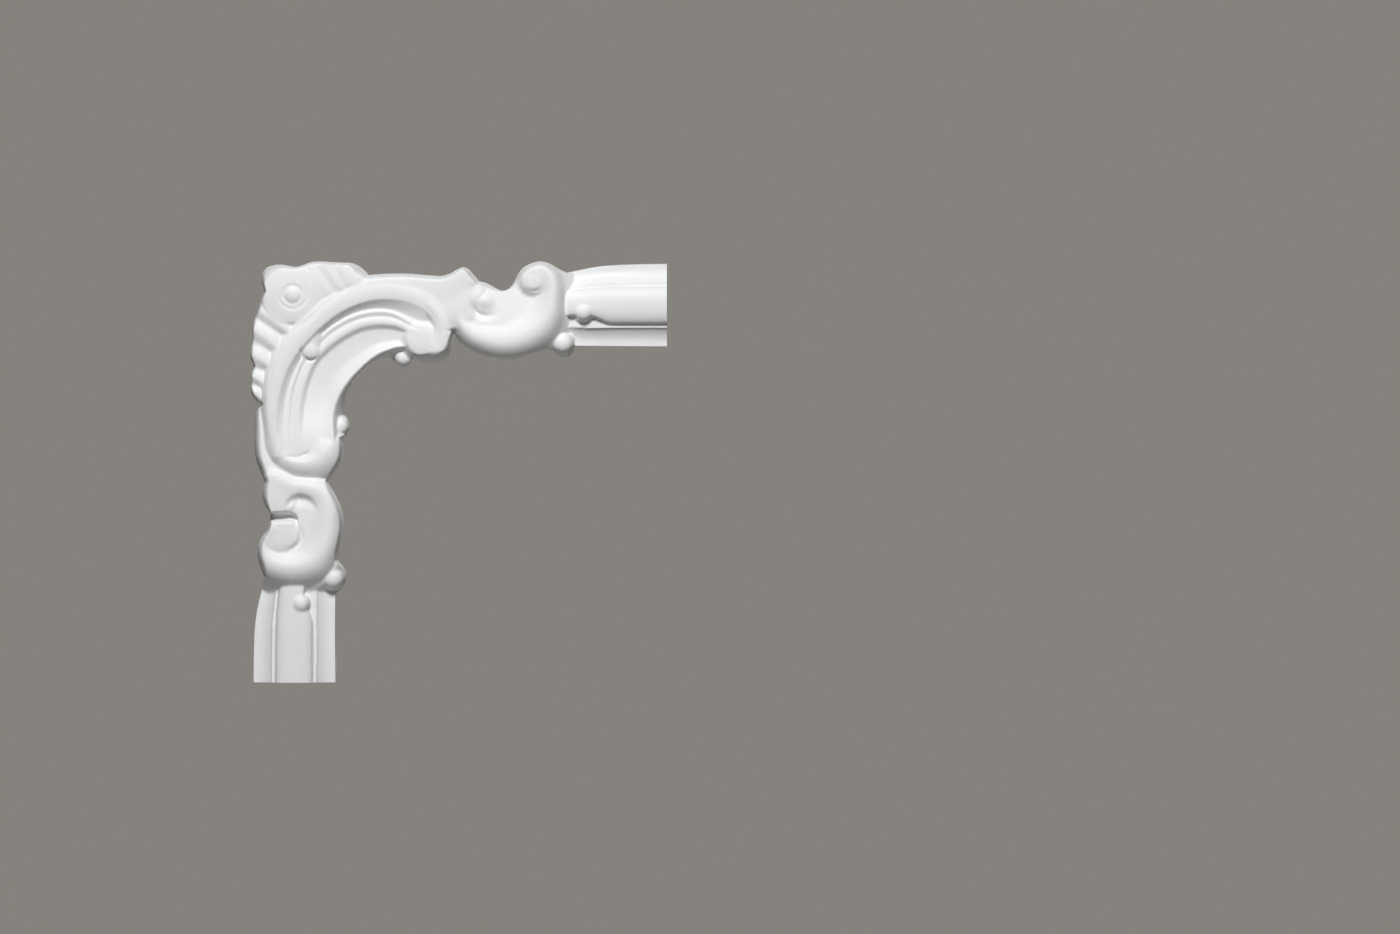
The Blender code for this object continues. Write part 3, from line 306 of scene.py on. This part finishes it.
def great_c(plan):
    """The great C across its width: rim, trough, two ribs, step, cove and the arris above its inner wall.
    Also how fully it is carved into what lies there: 1 inside the rim, fading out at its two ends."""
    bearing, radius = bearing_and_radius(plan)

    def turning(*pairs):
        """A value that changes smoothly with the bearing."""
        at, value = zip(*pairs)
        return np.mean([np.interp(bearing + turn, at, value) for turn in range(-8, 9, 2)], axis=0)

    rim, arris, foot = RIM_EDGE(bearing), ARRIS(bearing), STEP_FOOT(bearing)
    rim_top = turning((-14, 22.4), (0, 22.8), (12, RIM_HEIGHT), (45, RIM_HEIGHT), (80, 22.8), (95, 22.6))
    broad_top = turning((-6, 20.6), (4, 20), (12, 19.3), (45, 19.2), (80, 20), (90, 21.8))
    section = [
        (rim, rim_top, None),
        (TROUGH(bearing), turning((-10, 20.4), (0, 19.4), (12, 18.6), (45, 18.6), (79, 19), (90, 21.8)),
         lambda t: 1 - (1 - t)**1.35),
        (NARROW_RIB(bearing), turning((-10, 20.6), (0, 20.2), (12, 19.5), (45, 19.4), (80, 20),
                                      (90, 21.8)), ease),
        (VALLEY(bearing), turning((-6, 20.2), (2, 19.6), (12, 18.7), (45, 18.4), (78, 18.8),
                                  (90, 21.8)), ease),
        (BROAD_RIB(bearing), broad_top, lambda t: 1 - (1 - t)**2),
        (STEP_TOP(bearing), broad_top - 0.35, lambda t: t**2),
        (foot, turning((-4, 19.6), (4, 17.4), (12, 16.6), (45, 16.4), (72, 16.8), (82, 19), (92, 21.8)),
         lambda t: 1 - (1 - t)**1.2),
        (arris + 0.42 * (foot - arris), turning((-4, 19), (6, 16.8), (14, 15.9), (45, 15.6), (67, 16),
                                                (80, 18.7), (93, 21.8)),
         lambda t: 1 - (1 - t)**1.8),
        (arris, turning((-4, 19.6), (8, 18.8), (45, 18.4), (76, 19.2), (88, 21.8)), lambda t: t**1.5),
        (arris - 9, turning((-4, 20), (8, 19.2), (45, 18.8), (76, 19.6), (88, 21.8)), lambda t: t),
    ]
    height = np.full(len(plan), LOW)
    for (from_r, from_h, _), (to_r, to_h, shape) in zip(section, section[1:]):
        t = np.clip((from_r - radius) / np.maximum(from_r - to_r, 1e-6), 0, 1)
        height = np.where((radius <= from_r) & (radius > to_r), from_h + (to_h - from_h) * shape(t),
                          height)
    wall = turning((76, 19.2), (88, 27)) * np.clip((radius - arris + 6.9) / 6.9, 0, 2)**0.8
    height = -join(-height, -wall, 3)
    out = radius - rim
    width = turning((-12, 12), (0, 9.5), (10, 9.5), (45, 9), (62, 9), (75, 7), (84, 4.2), (95, 3.8))
    crown = rim_top + 0.5 * (1 - (2 * np.clip(out / width, 0, 1) - 1)**2)
    fall = turning((-12, 0), (5, 0.6), (14, 1.2), (30, 3), (60, 3.4), (72, 5.4), (95, 6))
    spread = turning((0, 8), (30, 4), (60, 4), (75, 4.8), (95, 5))
    beyond = np.clip(out - width, 0, None)
    outside = crown - fall * np.clip(beyond / spread, 0, 1.4)**1.5
    outside -= 1.3 * np.clip(beyond - 1.4 * spread, 0, None)
    height = np.where(out >= 0, outside, height)
    ends = ease((bearing + 12) / 8) * ease((106 - bearing) / 8)
    height = np.where(radius > section[-1][0], height, LOW)
    return height - 9 * (1 - ends), np.where(out < 0, ends, 0)


def shell_crest(plan):
    """Shell crest on the corner: a round lobe with an eye, a fluted lobe right of it, five down its left."""
    x, z = plan.T
    fluted = ridge(plan, [(8, 14, 21.6, 12, 14), (18, 14.6, 22.3, 12, 13), (27, 15, 22.6, 12, 11),
                          (33, 15.6, 22.6, 11, 9.5)], (1.0, 1.6))
    height = join(fluted, dome(plan, (33, 15.4), 11, 22.9, 0.2), 1.2)
    lobes = [
        [(-23, -1, 20.2, 6, 6.4), (-13, -8.4, 21.3, 6, 6.2), (-6, -13.4, 21.3, 5, 5.4),
         (-3.6, -15.4, 21.1, 4, 4.4)],
        [(-26, -12.5, 19.8, 6.4, 6.6), (-18, -18.6, 21.1, 6.4, 6.4), (-12, -23.4, 21.1, 5.6, 5.6),
         (-10, -25.4, 20.8, 4.6, 4.6)],
        [(-27, -27.4, 19.4, 6.4, 6.6), (-20.6, -31.6, 20.7, 6.4, 6), (-16, -34.8, 20.5, 5, 5),
         (-14.8, -36, 20.2, 4.2, 4.2)],
        [(-27, -40.4, 18.8, 5, 4.8), (-21.6, -43.8, 19.9, 4.8, 4.4), (-18.4, -46.4, 19.6, 4.2, 4)],
        [(-26.4, -50.4, 18.4, 4.4, 4.4), (-22, -53, 19.1, 4.2, 4.2), (-20.4, -54.4, 18.8, 3.8, 3.8)],
    ]
    for lobe in lobes:
        height = join(height, ridge(plan, lobe, (1.5, 2.3), (2, 0)), 1.1)
    for line in ([(13, 24, 0.2, 4, 4), (17, 19, 0.45, 4.4, 4.4), (21, 13, 0.5, 4.4, 4.4),
                  (25, 8, 0.3, 4, 4)],
                 [(23, 24, 0.1, 3, 3), (27, 18, 0.35, 3.6, 3.6), (30, 12.5, 0.4, 3.6, 3.6),
                  (31.6, 9, 0.2, 3, 3)]):
        height = groove(height, plan, line)
    height = join(height, dome(plan, (-1, 6), 18.6, 22.7, 0.14, (1.02, 0.98)), 1.5)
    from_eye = np.hypot(x + 0.3, z - 6)
    fade = 0.5 + 0.5 * np.clip((x * 0.4 - z + 5) / 6, -1, 1)
    height = height - 0.5 * np.exp(-(from_eye - 5.4)**2)
    height = height - 0.55 * fade * np.exp(-((from_eye - 8.2) / 0.9)**2)
    return join(height, dome(plan, (-0.3, 6), 4.9, 23.7, 0.4), 0.4)


def lying_scroll(plan):
    """C-scroll on the horizontal leg, open upwards between its two volutes."""
    height = dome(plan, (123, 3), 27, 19.8, 0.02) + 0.13 * np.clip(4 - plan[:, 1], -6, 15)
    rim = [(99.6, 6, 21.6, 5, 6), (98, 0, 21.8, 6, 6), (98.2, -6, 22, 8, 6), (101, -11.6, 22.6, 12, 7),
           (106, -16.4, 23.2, 15, 8.6), (115, -20, 23.8, 18, 10), (125, -21.2, 24.2, 19, 11),
           (133, -19.8, SCROLL_HEIGHT, 19, 11.4), (140, -16.6, SCROLL_HEIGHT, 18, 11.8),
           (146, -12, SCROLL_HEIGHT, 17, 11.8), (151, -5, SCROLL_HEIGHT, 16, 10),
           (153.6, 3, SCROLL_HEIGHT, 14, 7.2), (154, 10, SCROLL_HEIGHT, 13, 6.4),
           (151.6, 17, 24.2, 14, 6.8), (147, 21, 23.8, 15, 8), (141.6, 21, 23.2, 15, 8),
           (138, 18, 22.2, 14, 8)]
    height = join(height, ridge(plan, rim, (5.4, 8.2), (0, 2.35)), 0.8)
    height = join(height, dome(plan, (95, 4), 15.5, 22, 0.14), 1.6)
    height = join(height, dome(plan, (94.4, -4), 11, 22, 0.3), 1.6)
    height = join(height, ridge(plan, [(108, 9, 21.4, 4, 6), (104.4, 6, 22.2, 4, 6),
                                       (102.6, 0, 22.4, 4, 6), (104, -6, 22.2, 3, 6)], (1, 1.2)), 1.6)
    height = height + swell(plan, (113, 2.8), 8.4, 2.6)
    height = groove(height, plan, [(105.8, 3, 0.1, 1.4, 2), (106.6, -1, 0.8, 1.8, 2.6),
                                   (108.8, -4.4, 1.2, 2.2, 3.4), (112.8, -6.4, 1.1, 2.6, 4),
                                   (117.4, -6, 0.6, 2.6, 4), (121.6, -4, 0.1, 2, 3)])
    height = join(height, dome(plan, (142.8, 14.2), 8, 24, 0.32), 2)
    return groove(height, plan, [(136.6, 10.4, 0.1, 1.6, 2), (139.4, 8.4, 0.8, 2.2, 3),
                                 (143, 7.8, 1.1, 2.4, 3.4), (146.4, 9.4, 0.7, 2.2, 3),
                                 (148, 12.4, 0.1, 1.8, 2)])


def hanging_scroll(plan):
    """C-scroll on the vertical leg, fed from above by the strand outside the great C."""
    height = dome(plan, (3, -131), 26, 20, 0.02)
    rim = [(-13, -100, 20.4, 9, 14), (-8, -104.4, 21.4, 9, 14), (-1, -107.4, 22.2, 8, 14),
           (6, -108.4, 22.8, 8, 14), (12.4, -110, 23, 9, 14), (17.4, -114, 23, 10, 14),
           (20, -120, 23.2, 9.4, 14), (20.4, -129, 23.4, 9, 15), (19.4, -138, 23.6, 9.4, 14),
           (16.6, -145.6, 23.8, 10, 13), (11.6, -151.2, 24, 12, 11), (4, -154.4, 24, 12, 10),
           (-5, -155, 24, 11.4, 10), (-12.4, -152.6, 23.6, 10.4, 10), (-17, -147.6, 23, 8, 9),
           (-18, -141.4, 22.4, 6, 8), (-15.6, -136.4, 21.8, 6, 7), (-12, -133, 21.2, 6, 7)]
    height = join(height, ridge(plan, rim, (7.8, 3.8), (2.3, 0)), 1.2)
    height = join(height, dome(plan, (-10.4, -112), 13, 22.2, 0.1), 3)
    height = hollow(height, plan, [(-5.8, -121.6, 1.2, 3, 5), (-5.2, -117.6, 3, 3.4, 7),
                                   (-2, -113.4, 4.2, 4, 9), (2, -111.6, 4.8, 4.4, 10),
                                   (6.4, -111.6, 4.6, 4.4, 10), (11, -113.6, 3.4, 4.2, 9),
                                   (14.4, -117.6, 1.6, 3.6, 8), (16, -122, 0.2, 3, 6)], -1)
    height = join(height, dome(plan, (-7.4, -135.4), 11, 22, 0.12), 3)
    d, _, (half, depth) = beside(plan, [(-24, -125.8, 2.3, 7), (-8, -125.8, 2.2, 7),
                                        (-2, -125.8, 2.1, 6.4), (0.8, -126.8, 1.7, 5),
                                        (1.6, -129, 1, 2.4), (2, -131, 0.4, 0.2)], 6)
    height = height - depth * (1 - ease(d - half + 0.5))
    return groove(height, plan, [(1.6, -130.4, 1, 2, 2), (4.2, -135, 0.9, 2.6, 2.6),
                                 (4.6, -139, 0.9, 2.6, 2.6), (1.4, -143, 0.8, 2.6, 2.6),
                                 (-5, -145.2, 0.5, 3, 3), (-11, -145.2, 0.1, 3, 3)])


def strands(plan):
    """The two strands that run outside the great C's rim: one to the spike, one to the hanging scroll."""
    along_top = ridge(plan, [(40, 11, 20.8, 9, 14), (60, 13.2, 21.8, 8, 14), (75, 13.2, 22.2, 8, 14),
                             (88, 12.6, 22.5, 8, 14), (95, 14.4, 22.8, 8, 12), (100, 18, 23, 7, 9)],
                      (1.4, 1.0))
    down_side = ridge(plan, [(-19, -59, 17, 3, 4), (-19.6, -66, 18, 3, 4), (-19.6, -74, 18.6, 4, 4),
                             (-19, -84, 19, 6, 4), (-17, -93, 19.4, 8, 5), (-13, -100, 20, 9, 6)],
                      (0.5, 1.2))
    return along_top, down_side


def c_ends(height, plan):
    """The great C's two ends, where the rim curls round an eye."""
    right = ridge(plan, [(66, 6.6, 22.6, 8, 4), (74, 4, 22.9, 8, 4), (81, -0.6, 23, 8, 4),
                         (86.4, -7, 23, 6, 4), (88.8, -15, 22.8, 5, 4), (88, -22.6, 22.4, 5.4, 4),
                         (84, -27.4, 21.6, 7, 4), (77, -28.4, 18.6, 6, 4)],
                  (2.2, 0.9), (2, 0))
    height = join(height, right, 0.8)
    height = join(height, dome(plan, (76.2, -20.4), 10, 21.8, 0.2), 2.4)

    lower = ridge(plan, [(-12.6, -70, 22.2, 4, 5.4), (-12, -77, 22.5, 4, 6.4), (-10, -84, 22.6, 4, 7.6),
                         (-5.6, -89.8, 22.8, 4, 8.6), (1.6, -93.2, 23.2, 4, 9), (8.6, -93.6, 23.4, 4, 10),
                         (15, -91, 23.4, 5, 11), (19.6, -86, 23.2, 6, 10), (22, -80.4, 21.6, 6, 8),
                         (22.4, -75, 17, 5, 6)],
                  (1.2, 5.4), (0, 2.1))
    height = join(height, lower, 0.8)
    return hollow(height, plan, [(-5.6, -88.4, 0.1, 1, 1.6), (-3, -88.9, 1.4, 1.1, 3),
                                 (1, -89.3, 2, 1.2, 3.4), (5, -88.8, 1.6, 1, 3.4),
                                 (8.4, -86, 0.7, 1.4, 3), (10.2, -81.4, 0.5, 1.6, 3),
                                 (10.4, -77, 0.1, 1.6, 2)], -1)


def relief(plan):
    """Height of the carved face above the wall at plan points (x, z), before its sides are rounded off."""
    x, z = plan.T
    outer_edge = [(160, 19), (162, 19.5), (170, 21.3), (180, 23.1), (190, 24), (205, 24.6), (221.4, 24.8)]
    left_edge = [(161, 18.2), (168.5, 19.8), (176, 21.6), (184, 23.1), (192, 24), (206, 24.6), (224, 24.8)]
    height = join(stub(x, z, outer_edge), stub(-z, -x, left_edge), 0.1)
    height = np.maximum(height, np.where((x > 170) | (z < -170), LOW, 5.0))
    along_top, down_side = strands(plan)
    height = join(height, along_top)
    height = join(height, shell_crest(plan), 0.6)
    arc, carved = great_c(plan)
    height = carved * arc + (1 - carved) * join(height, arc, 0.6)
    height = join(height, down_side, 0.6)
    height = c_ends(height, plan)
    height = groove(height, plan, [(34, 11, 0.2, 2.4, 2.4), (25, 5, 0.6, 2.4, 2.4),
                                   (17, -1, 0.8, 2.4, 2.4), (9, -9, 0.8, 2.4, 2.4),
                                   (2, -14, 0.7, 2.4, 2.4), (-4, -19.6, 0.6, 2.4, 2.4),
                                   (-9, -29, 0.6, 2.4, 2.4), (-12.6, -39, 0.6, 2.2, 2.2),
                                   (-15.4, -50, 0.3, 2, 2)])
    tongue = ridge(plan, [(13, -16, 21.2, 3.6, 3.6), (11.4, -21, 21.3, 4.4, 4.4),
                          (10.4, -26.6, 21.3, 4.6, 4.4)],
                   (1.8, 1.6))
    height = join(height, tongue, 1.2)
    height = join(height, dome(plan, (10.2, -27.4), 5, 21.5, 0.4), 1)
    height = groove(height, plan, [(7, -31, 0.2, 0.8, 0.8), (9, -32.4, 1.8, 1, 1),
                                   (11.6, -32.6, 1.8, 1, 1), (14, -31.2, 0.2, 0.8, 0.8)])
    height = groove(height, plan, [(5, -24.6, 0.2, 0.8, 0.8), (4.6, -28, 2, 1, 1),
                                   (4.8, -31.4, 0.2, 0.8, 0.8)])
    leaf = ridge(plan, [(8, -167.6, 12.6, 2.4, 3), (15, -163.4, 14.6, 2.4, 3), (21, -157.6, 15.6, 2.4, 3),
                        (25.4, -152.4, 15.4, 2, 2)], (0.6, 1))
    height = join(height, leaf, 0.3)
    height = join(height, lying_scroll(plan))
    height = join(height, hanging_scroll(plan))
    beads = [((159.4, -22.4), 6.2, 16.4), ((65, -31), 5.2, 15), ((27, -71.6), 5.6, 15),
             ((22.8, -162), 6.4, 16.4), ((172, -4.2), 5.3, 19), ((4, -177.2), 5.3, 19)]
    for centre, radius, top in beads:
        height = join(height, bead(plan, centre, radius, top), 1)
    return height


def rounded_sides(plan, height):
    """Brings the surface down to the wall along both edges, over each edge's own shoulder."""
    for stretches in (OUTER_EDGE, INNER_EDGE):
        inward, _, (shoulder,) = beside(plan, edge_line(stretches), 8)
        height = height * quarter_round(1 - np.clip(inward / shoulder, 0, 1), 1.0)
    return height


def matched_edges(spacing):
    """Both edges at stations that face each other across the piece, about spacing apart."""
    runs = []
    for side, stretches in enumerate((OUTER_EDGE, INNER_EDGE)):
        line = edge_line(stretches)[:, :2]
        length = np.concatenate([[0], np.cumsum(np.hypot(*np.diff(line, axis=0).T))])
        marks = nearest(line, np.array([pair[side] for pair in FACING], float))
        runs.append((line, length, length[marks]))
    counts = [math.ceil(max(steps) / spacing) for steps in zip(*(np.diff(at) for _, _, at in runs))]
    edges = []
    for line, length, at in runs:
        pieces = [np.linspace(a, b, n, endpoint=False) for a, b, n in zip(at, at[1:], counts)]
        where = np.concatenate(pieces + [at[-1:]])
        edges.append(np.column_stack([np.interp(where, length, column) for column in line.T]))
    return edges


def columns(first_steps, count):
    """Shares of the way across the piece, closer together along both edges."""
    near_edge = np.array(first_steps) / (2 * HALF_WIDTH)
    middle = np.linspace(near_edge[-1], 1 - near_edge[-1], count)
    return np.concatenate([near_edge[:-1], middle, 1 - near_edge[-2::-1]])


def evened(net, share):
    """Evens a net of values out along the piece, away from its two edges."""
    inside = ease((2 * HALF_WIDTH * np.minimum(share, 1 - share) - 2) / 4)
    net[1:-1] += inside * (net[:-2] - 2 * net[1:-1] + net[2:]) / 4


def carved_block(spacing, first_steps, count):
    """The closed casting: a net of points over the carved face, and the flat back behind it."""
    outer, inner = matched_edges(spacing)
    share = columns(first_steps, count)[:, None]
    net = outer[:, None] * (1 - share) + inner[:, None] * share
    for _ in range(8):
        evened(net, share)
    plan = net.reshape(-1, 2)
    height = rounded_sides(plan, relief(plan)).reshape(len(outer), len(share))
    for _ in range(2):
        evened(height, share[:, 0])
    height[:, [0, -1]] = 0
    shape = bmesh.new()
    points = [shape.verts.new((x * MM, -h * MM, z * MM)) for (x, z), h in zip(plan, height.ravel())]
    rows = [points[i:i + len(share)] for i in range(0, len(points), len(share))]
    for this, below in zip(rows, rows[1:]):
        for j in range(len(share) - 1):
            shape.faces.new((this[j], this[j + 1], below[j + 1], below[j]))
        shape.faces.new((this[-1], this[0], below[0], below[-1]))
    shape.faces.new(rows[0][::-1])
    shape.faces.new(rows[-1])
    bmesh.ops.recalc_face_normals(shape, faces=shape.faces)
    return shape


shape = carved_block(STATION_SPACING, FIRST_STEPS, COLUMNS)
mesh = bpy.data.meshes.new("corner_casting")
shape.to_mesh(mesh)
shape.free()
mesh.shade_smooth()
mesh.set_sharp_from_angle(angle=math.radians(50))
casting = bpy.data.objects.new("corner_casting", mesh)
bpy.context.scene.collection.objects.link(casting)


def linear(code):
    """A hex colour as the linear values that Blender mixes."""
    shares = [int(code[i:i + 2], 16) / 255 for i in (1, 3, 5)]
    return tuple(s / 12.92 if s <= 0.04045 else ((s + 0.055) / 1.055)**2.4 for s in shares) + (1,)


def add(tree, kind, links=None, **settings):
    """A shader node with its settings; links gives each input a socket or a plain value."""
    node = tree.nodes.new(kind)
    for name, value in settings.items():
        setattr(node, name, value)
    for name, value in (links or {}).items():
        if isinstance(value, bpy.types.NodeSocket):
            tree.links.new(value, node.inputs[name])
        else:
            node.inputs[name].default_value = value
    return node


# White primer on cast polyurethane: an even, neutral white, matte with a soft sheen. Clouding a few
# centimetres wide and a 0.5 mm grain keep it from looking like plain plastic. The back is bare cream foam.
primer = bpy.data.materials.new("white_primed_polyurethane")
primer.use_nodes = True
tree = primer.node_tree
shader = tree.nodes["Principled BSDF"]
place = add(tree, "ShaderNodeTexCoord").outputs["Object"]
CLOUD_SIZE = 26.3      # clouding where the primer lies thicker
SPECK_SIZE = 1.11      # fine speckle in its white
GRAIN_SIZE = 0.5       # finer on real primer, and drawn coarser so that it shows
BARE_EDGE = 0.2        # the primer stops this far short of the flat back
clouds = add(tree, "ShaderNodeTexNoise",
             {"Vector": place, "Scale": 1 / (CLOUD_SIZE * MM), "Detail": 3.0, "Roughness": 0.55})
specks = add(tree, "ShaderNodeTexNoise",
             {"Vector": place, "Scale": 1 / (SPECK_SIZE * MM), "Detail": 2.0, "Roughness": 0.6})
grain = add(tree, "ShaderNodeTexNoise",
            {"Vector": place, "Scale": 1 / (GRAIN_SIZE * MM), "Detail": 2.0, "Roughness": 0.5})
white = add(tree, "ShaderNodeMix",
            {"Factor": clouds.outputs["Fac"], "A": linear("#EDEEEE"), "B": linear("#F3F4F4")},
            data_type="RGBA")
speckled = add(tree, "ShaderNodeMix",
               {"Factor": specks.outputs["Fac"], "A": linear("#F4F4F4"), "B": linear("#FFFFFF")},
               data_type="RGBA")
face = add(tree, "ShaderNodeMix",
           {"Factor": 1.0, "A": white.outputs["Result"], "B": speckled.outputs["Result"]},
           data_type="RGBA", blend_type="MULTIPLY")
depth = add(tree, "ShaderNodeSeparateXYZ", {"Vector": place}).outputs["Y"]
back = add(tree, "ShaderNodeMath", {0: depth, 1: -BARE_EDGE * MM}, operation="GREATER_THAN").outputs[0]
foam = add(tree, "ShaderNodeMix",
           {"Factor": specks.outputs["Fac"], "A": linear("#D9D0BC"), "B": linear("#E9E3D3")},
           data_type="RGBA")
colour = add(tree, "ShaderNodeMix",
             {"Factor": back, "A": face.outputs["Result"], "B": foam.outputs["Result"]},
             data_type="RGBA")
rough = add(tree, "ShaderNodeMapRange", {"Value": clouds.outputs["Fac"], "From Min": 0.3, "From Max": 0.7,
                                         "To Min": 0.46, "To Max": 0.60})
bump = add(tree, "ShaderNodeBump", {"Height": grain.outputs["Fac"], "Strength": 0.5, "Distance": 0.00006})
tree.links.new(colour.outputs["Result"], shader.inputs["Base Color"])
tree.links.new(rough.outputs["Result"], shader.inputs["Roughness"])
tree.links.new(bump.outputs["Normal"], shader.inputs["Normal"])
shader.inputs["Specular IOR Level"].default_value = 0.35
mesh.materials.append(primer)
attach(casting, "root")
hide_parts("frieze_corner")

# The stage: a plain pale floor of matte painted board, in one piece with no seam. It lies well below
# the casting, out of the front view, and drifts only faintly in tone.
FLOOR_DROP = 0.37
FLOOR_REACH = 1.7      # from its middle to each edge, sideways
FLOOR_DEPTH = 1.6      # from the casting's back to each edge, forwards and backwards
FLOOR_MIDDLE = 0.1
DRIFT_SIZE = 333.0     # the faint drift of tone across the floor
floor_mesh = bpy.data.meshes.new("floor")
low = END_Z * MM - FLOOR_DROP
corners = [(FLOOR_MIDDLE + i * FLOOR_REACH, k * FLOOR_DEPTH, low)
           for i, k in ((-1, -1), (1, -1), (1, 1), (-1, 1))]
floor_mesh.from_pydata(corners, [], [(0, 1, 2, 3)])
floor = bpy.data.objects.new("floor", floor_mesh)
bpy.context.scene.collection.objects.link(floor)
pale = bpy.data.materials.new("pale_matte_floor")
pale.use_nodes = True
tree = pale.node_tree
shader = tree.nodes["Principled BSDF"]
place = add(tree, "ShaderNodeTexCoord").outputs["Object"]
drift = add(tree, "ShaderNodeTexNoise", {"Vector": place, "Scale": 1 / (DRIFT_SIZE * MM)})
tint = add(tree, "ShaderNodeMix",
           {"Factor": drift.outputs["Fac"], "A": linear("#D6D4D0"), "B": linear("#DEDCD8")},
           data_type="RGBA")
tree.links.new(tint.outputs["Result"], shader.inputs["Base Color"])
shader.inputs["Roughness"].default_value = 0.9
floor_mesh.materials.append(pale)

# The room: dim and even, so that the carving keeps its shadows. A card in the photo's warm grey stands
# far behind and glows evenly, so that no shadow falls on it.
ROOM_LIGHT = 0.095
CARD_PLACE = (0.241, 5.0, -0.096)
CARD_WIDTH = 2.4
CARD_HEIGHT = 1.8
world = bpy.data.worlds.new("dim_studio")
bpy.context.scene.world = world
world.use_nodes = True
world.node_tree.nodes["Background"].inputs["Color"].default_value = (ROOM_LIGHT,) * 3 + (1,)
card_x, card_y, card_z = CARD_PLACE
corners = [(card_x + i * CARD_WIDTH / 2, card_y, card_z + k * CARD_HEIGHT / 2)
           for i, k in ((-1, -1), (1, -1), (1, 1), (-1, 1))]
card_mesh = bpy.data.meshes.new("grey_card")
card_mesh.from_pydata(corners, [], [(0, 1, 2, 3)])
card = bpy.data.objects.new("grey_card", card_mesh)
bpy.context.scene.collection.objects.link(card)
grey = bpy.data.materials.new("lit_grey_card")
grey.use_nodes = True
shader = grey.node_tree.nodes["Principled BSDF"]
shader.inputs["Base Color"].default_value = (0, 0, 0, 1)
shader.inputs["Specular IOR Level"].default_value = 0
shader.inputs["Emission Color"].default_value = linear("#86827D")
shader.inputs["Emission Strength"].default_value = 1.0
card_mesh.materials.append(grey)


def area_light(name, place, aim, size, watts, spread):
    """A square soft light that faces a point; a grid keeps its beam within the spread, in degrees."""
    light = bpy.data.lights.new(name, "AREA")
    light.shape = "SQUARE"
    light.size = size
    light.energy = watts
    light.spread = math.radians(spread)
    holder = bpy.data.objects.new(name, light)
    holder.location = place
    holder.rotation_euler = (Vector(aim) - Vector(place)).to_track_quat("-Z", "Y").to_euler()
    bpy.context.scene.collection.objects.link(holder)


# The light: one soft lamp high in front, as from a tall window, so that undersides fall dark. A broad
# dim lamp behind shows the back and the floor, and lightens the undersides and the outline a little.
middle = (0.1, 0.0, -0.08)       # of the casting, which both lamps face
area_light("key", place=(0.05, -1.7, 1.22), aim=middle, size=0.5, watts=2.45, spread=40)
area_light("back", place=(0.1, 1.5, 0.15), aim=middle, size=0.9, watts=4.5, spread=180)

# The camera: a long lens square to the face, with next to no perspective, as in the photo. It is placed
# so that the casting has the same size and place in the frame.
PHOTO_WIDTH = 1400
PHOTO_HEIGHT = 934
END_PIXELS = 84                  # the moulding's width at its cut ends, in pixels of the photo
PIXEL = 2 * HALF_WIDTH * MM / END_PIXELS
ORIGIN_AT = (295.0, 305.5)       # where the origin lies in the photo, in pixels from its top left
LENS = 200.0
SENSOR = 36.0
camera_data = bpy.data.cameras.new("camera")
camera_data.lens = LENS
camera_data.sensor_width = SENSOR
camera_data.clip_start = 0.05
camera = bpy.data.objects.new("camera", camera_data)
distance = PHOTO_WIDTH * PIXEL * LENS / SENSOR
right = PHOTO_WIDTH / 2 - ORIGIN_AT[0]
up = ORIGIN_AT[1] - PHOTO_HEIGHT / 2
camera.location = (right * PIXEL, -distance, up * PIXEL)
camera.rotation_euler = (math.pi / 2, 0, 0)
bpy.context.scene.collection.objects.link(camera)
bpy.context.scene.camera = camera
bpy.context.scene.view_settings.view_transform = "Standard"
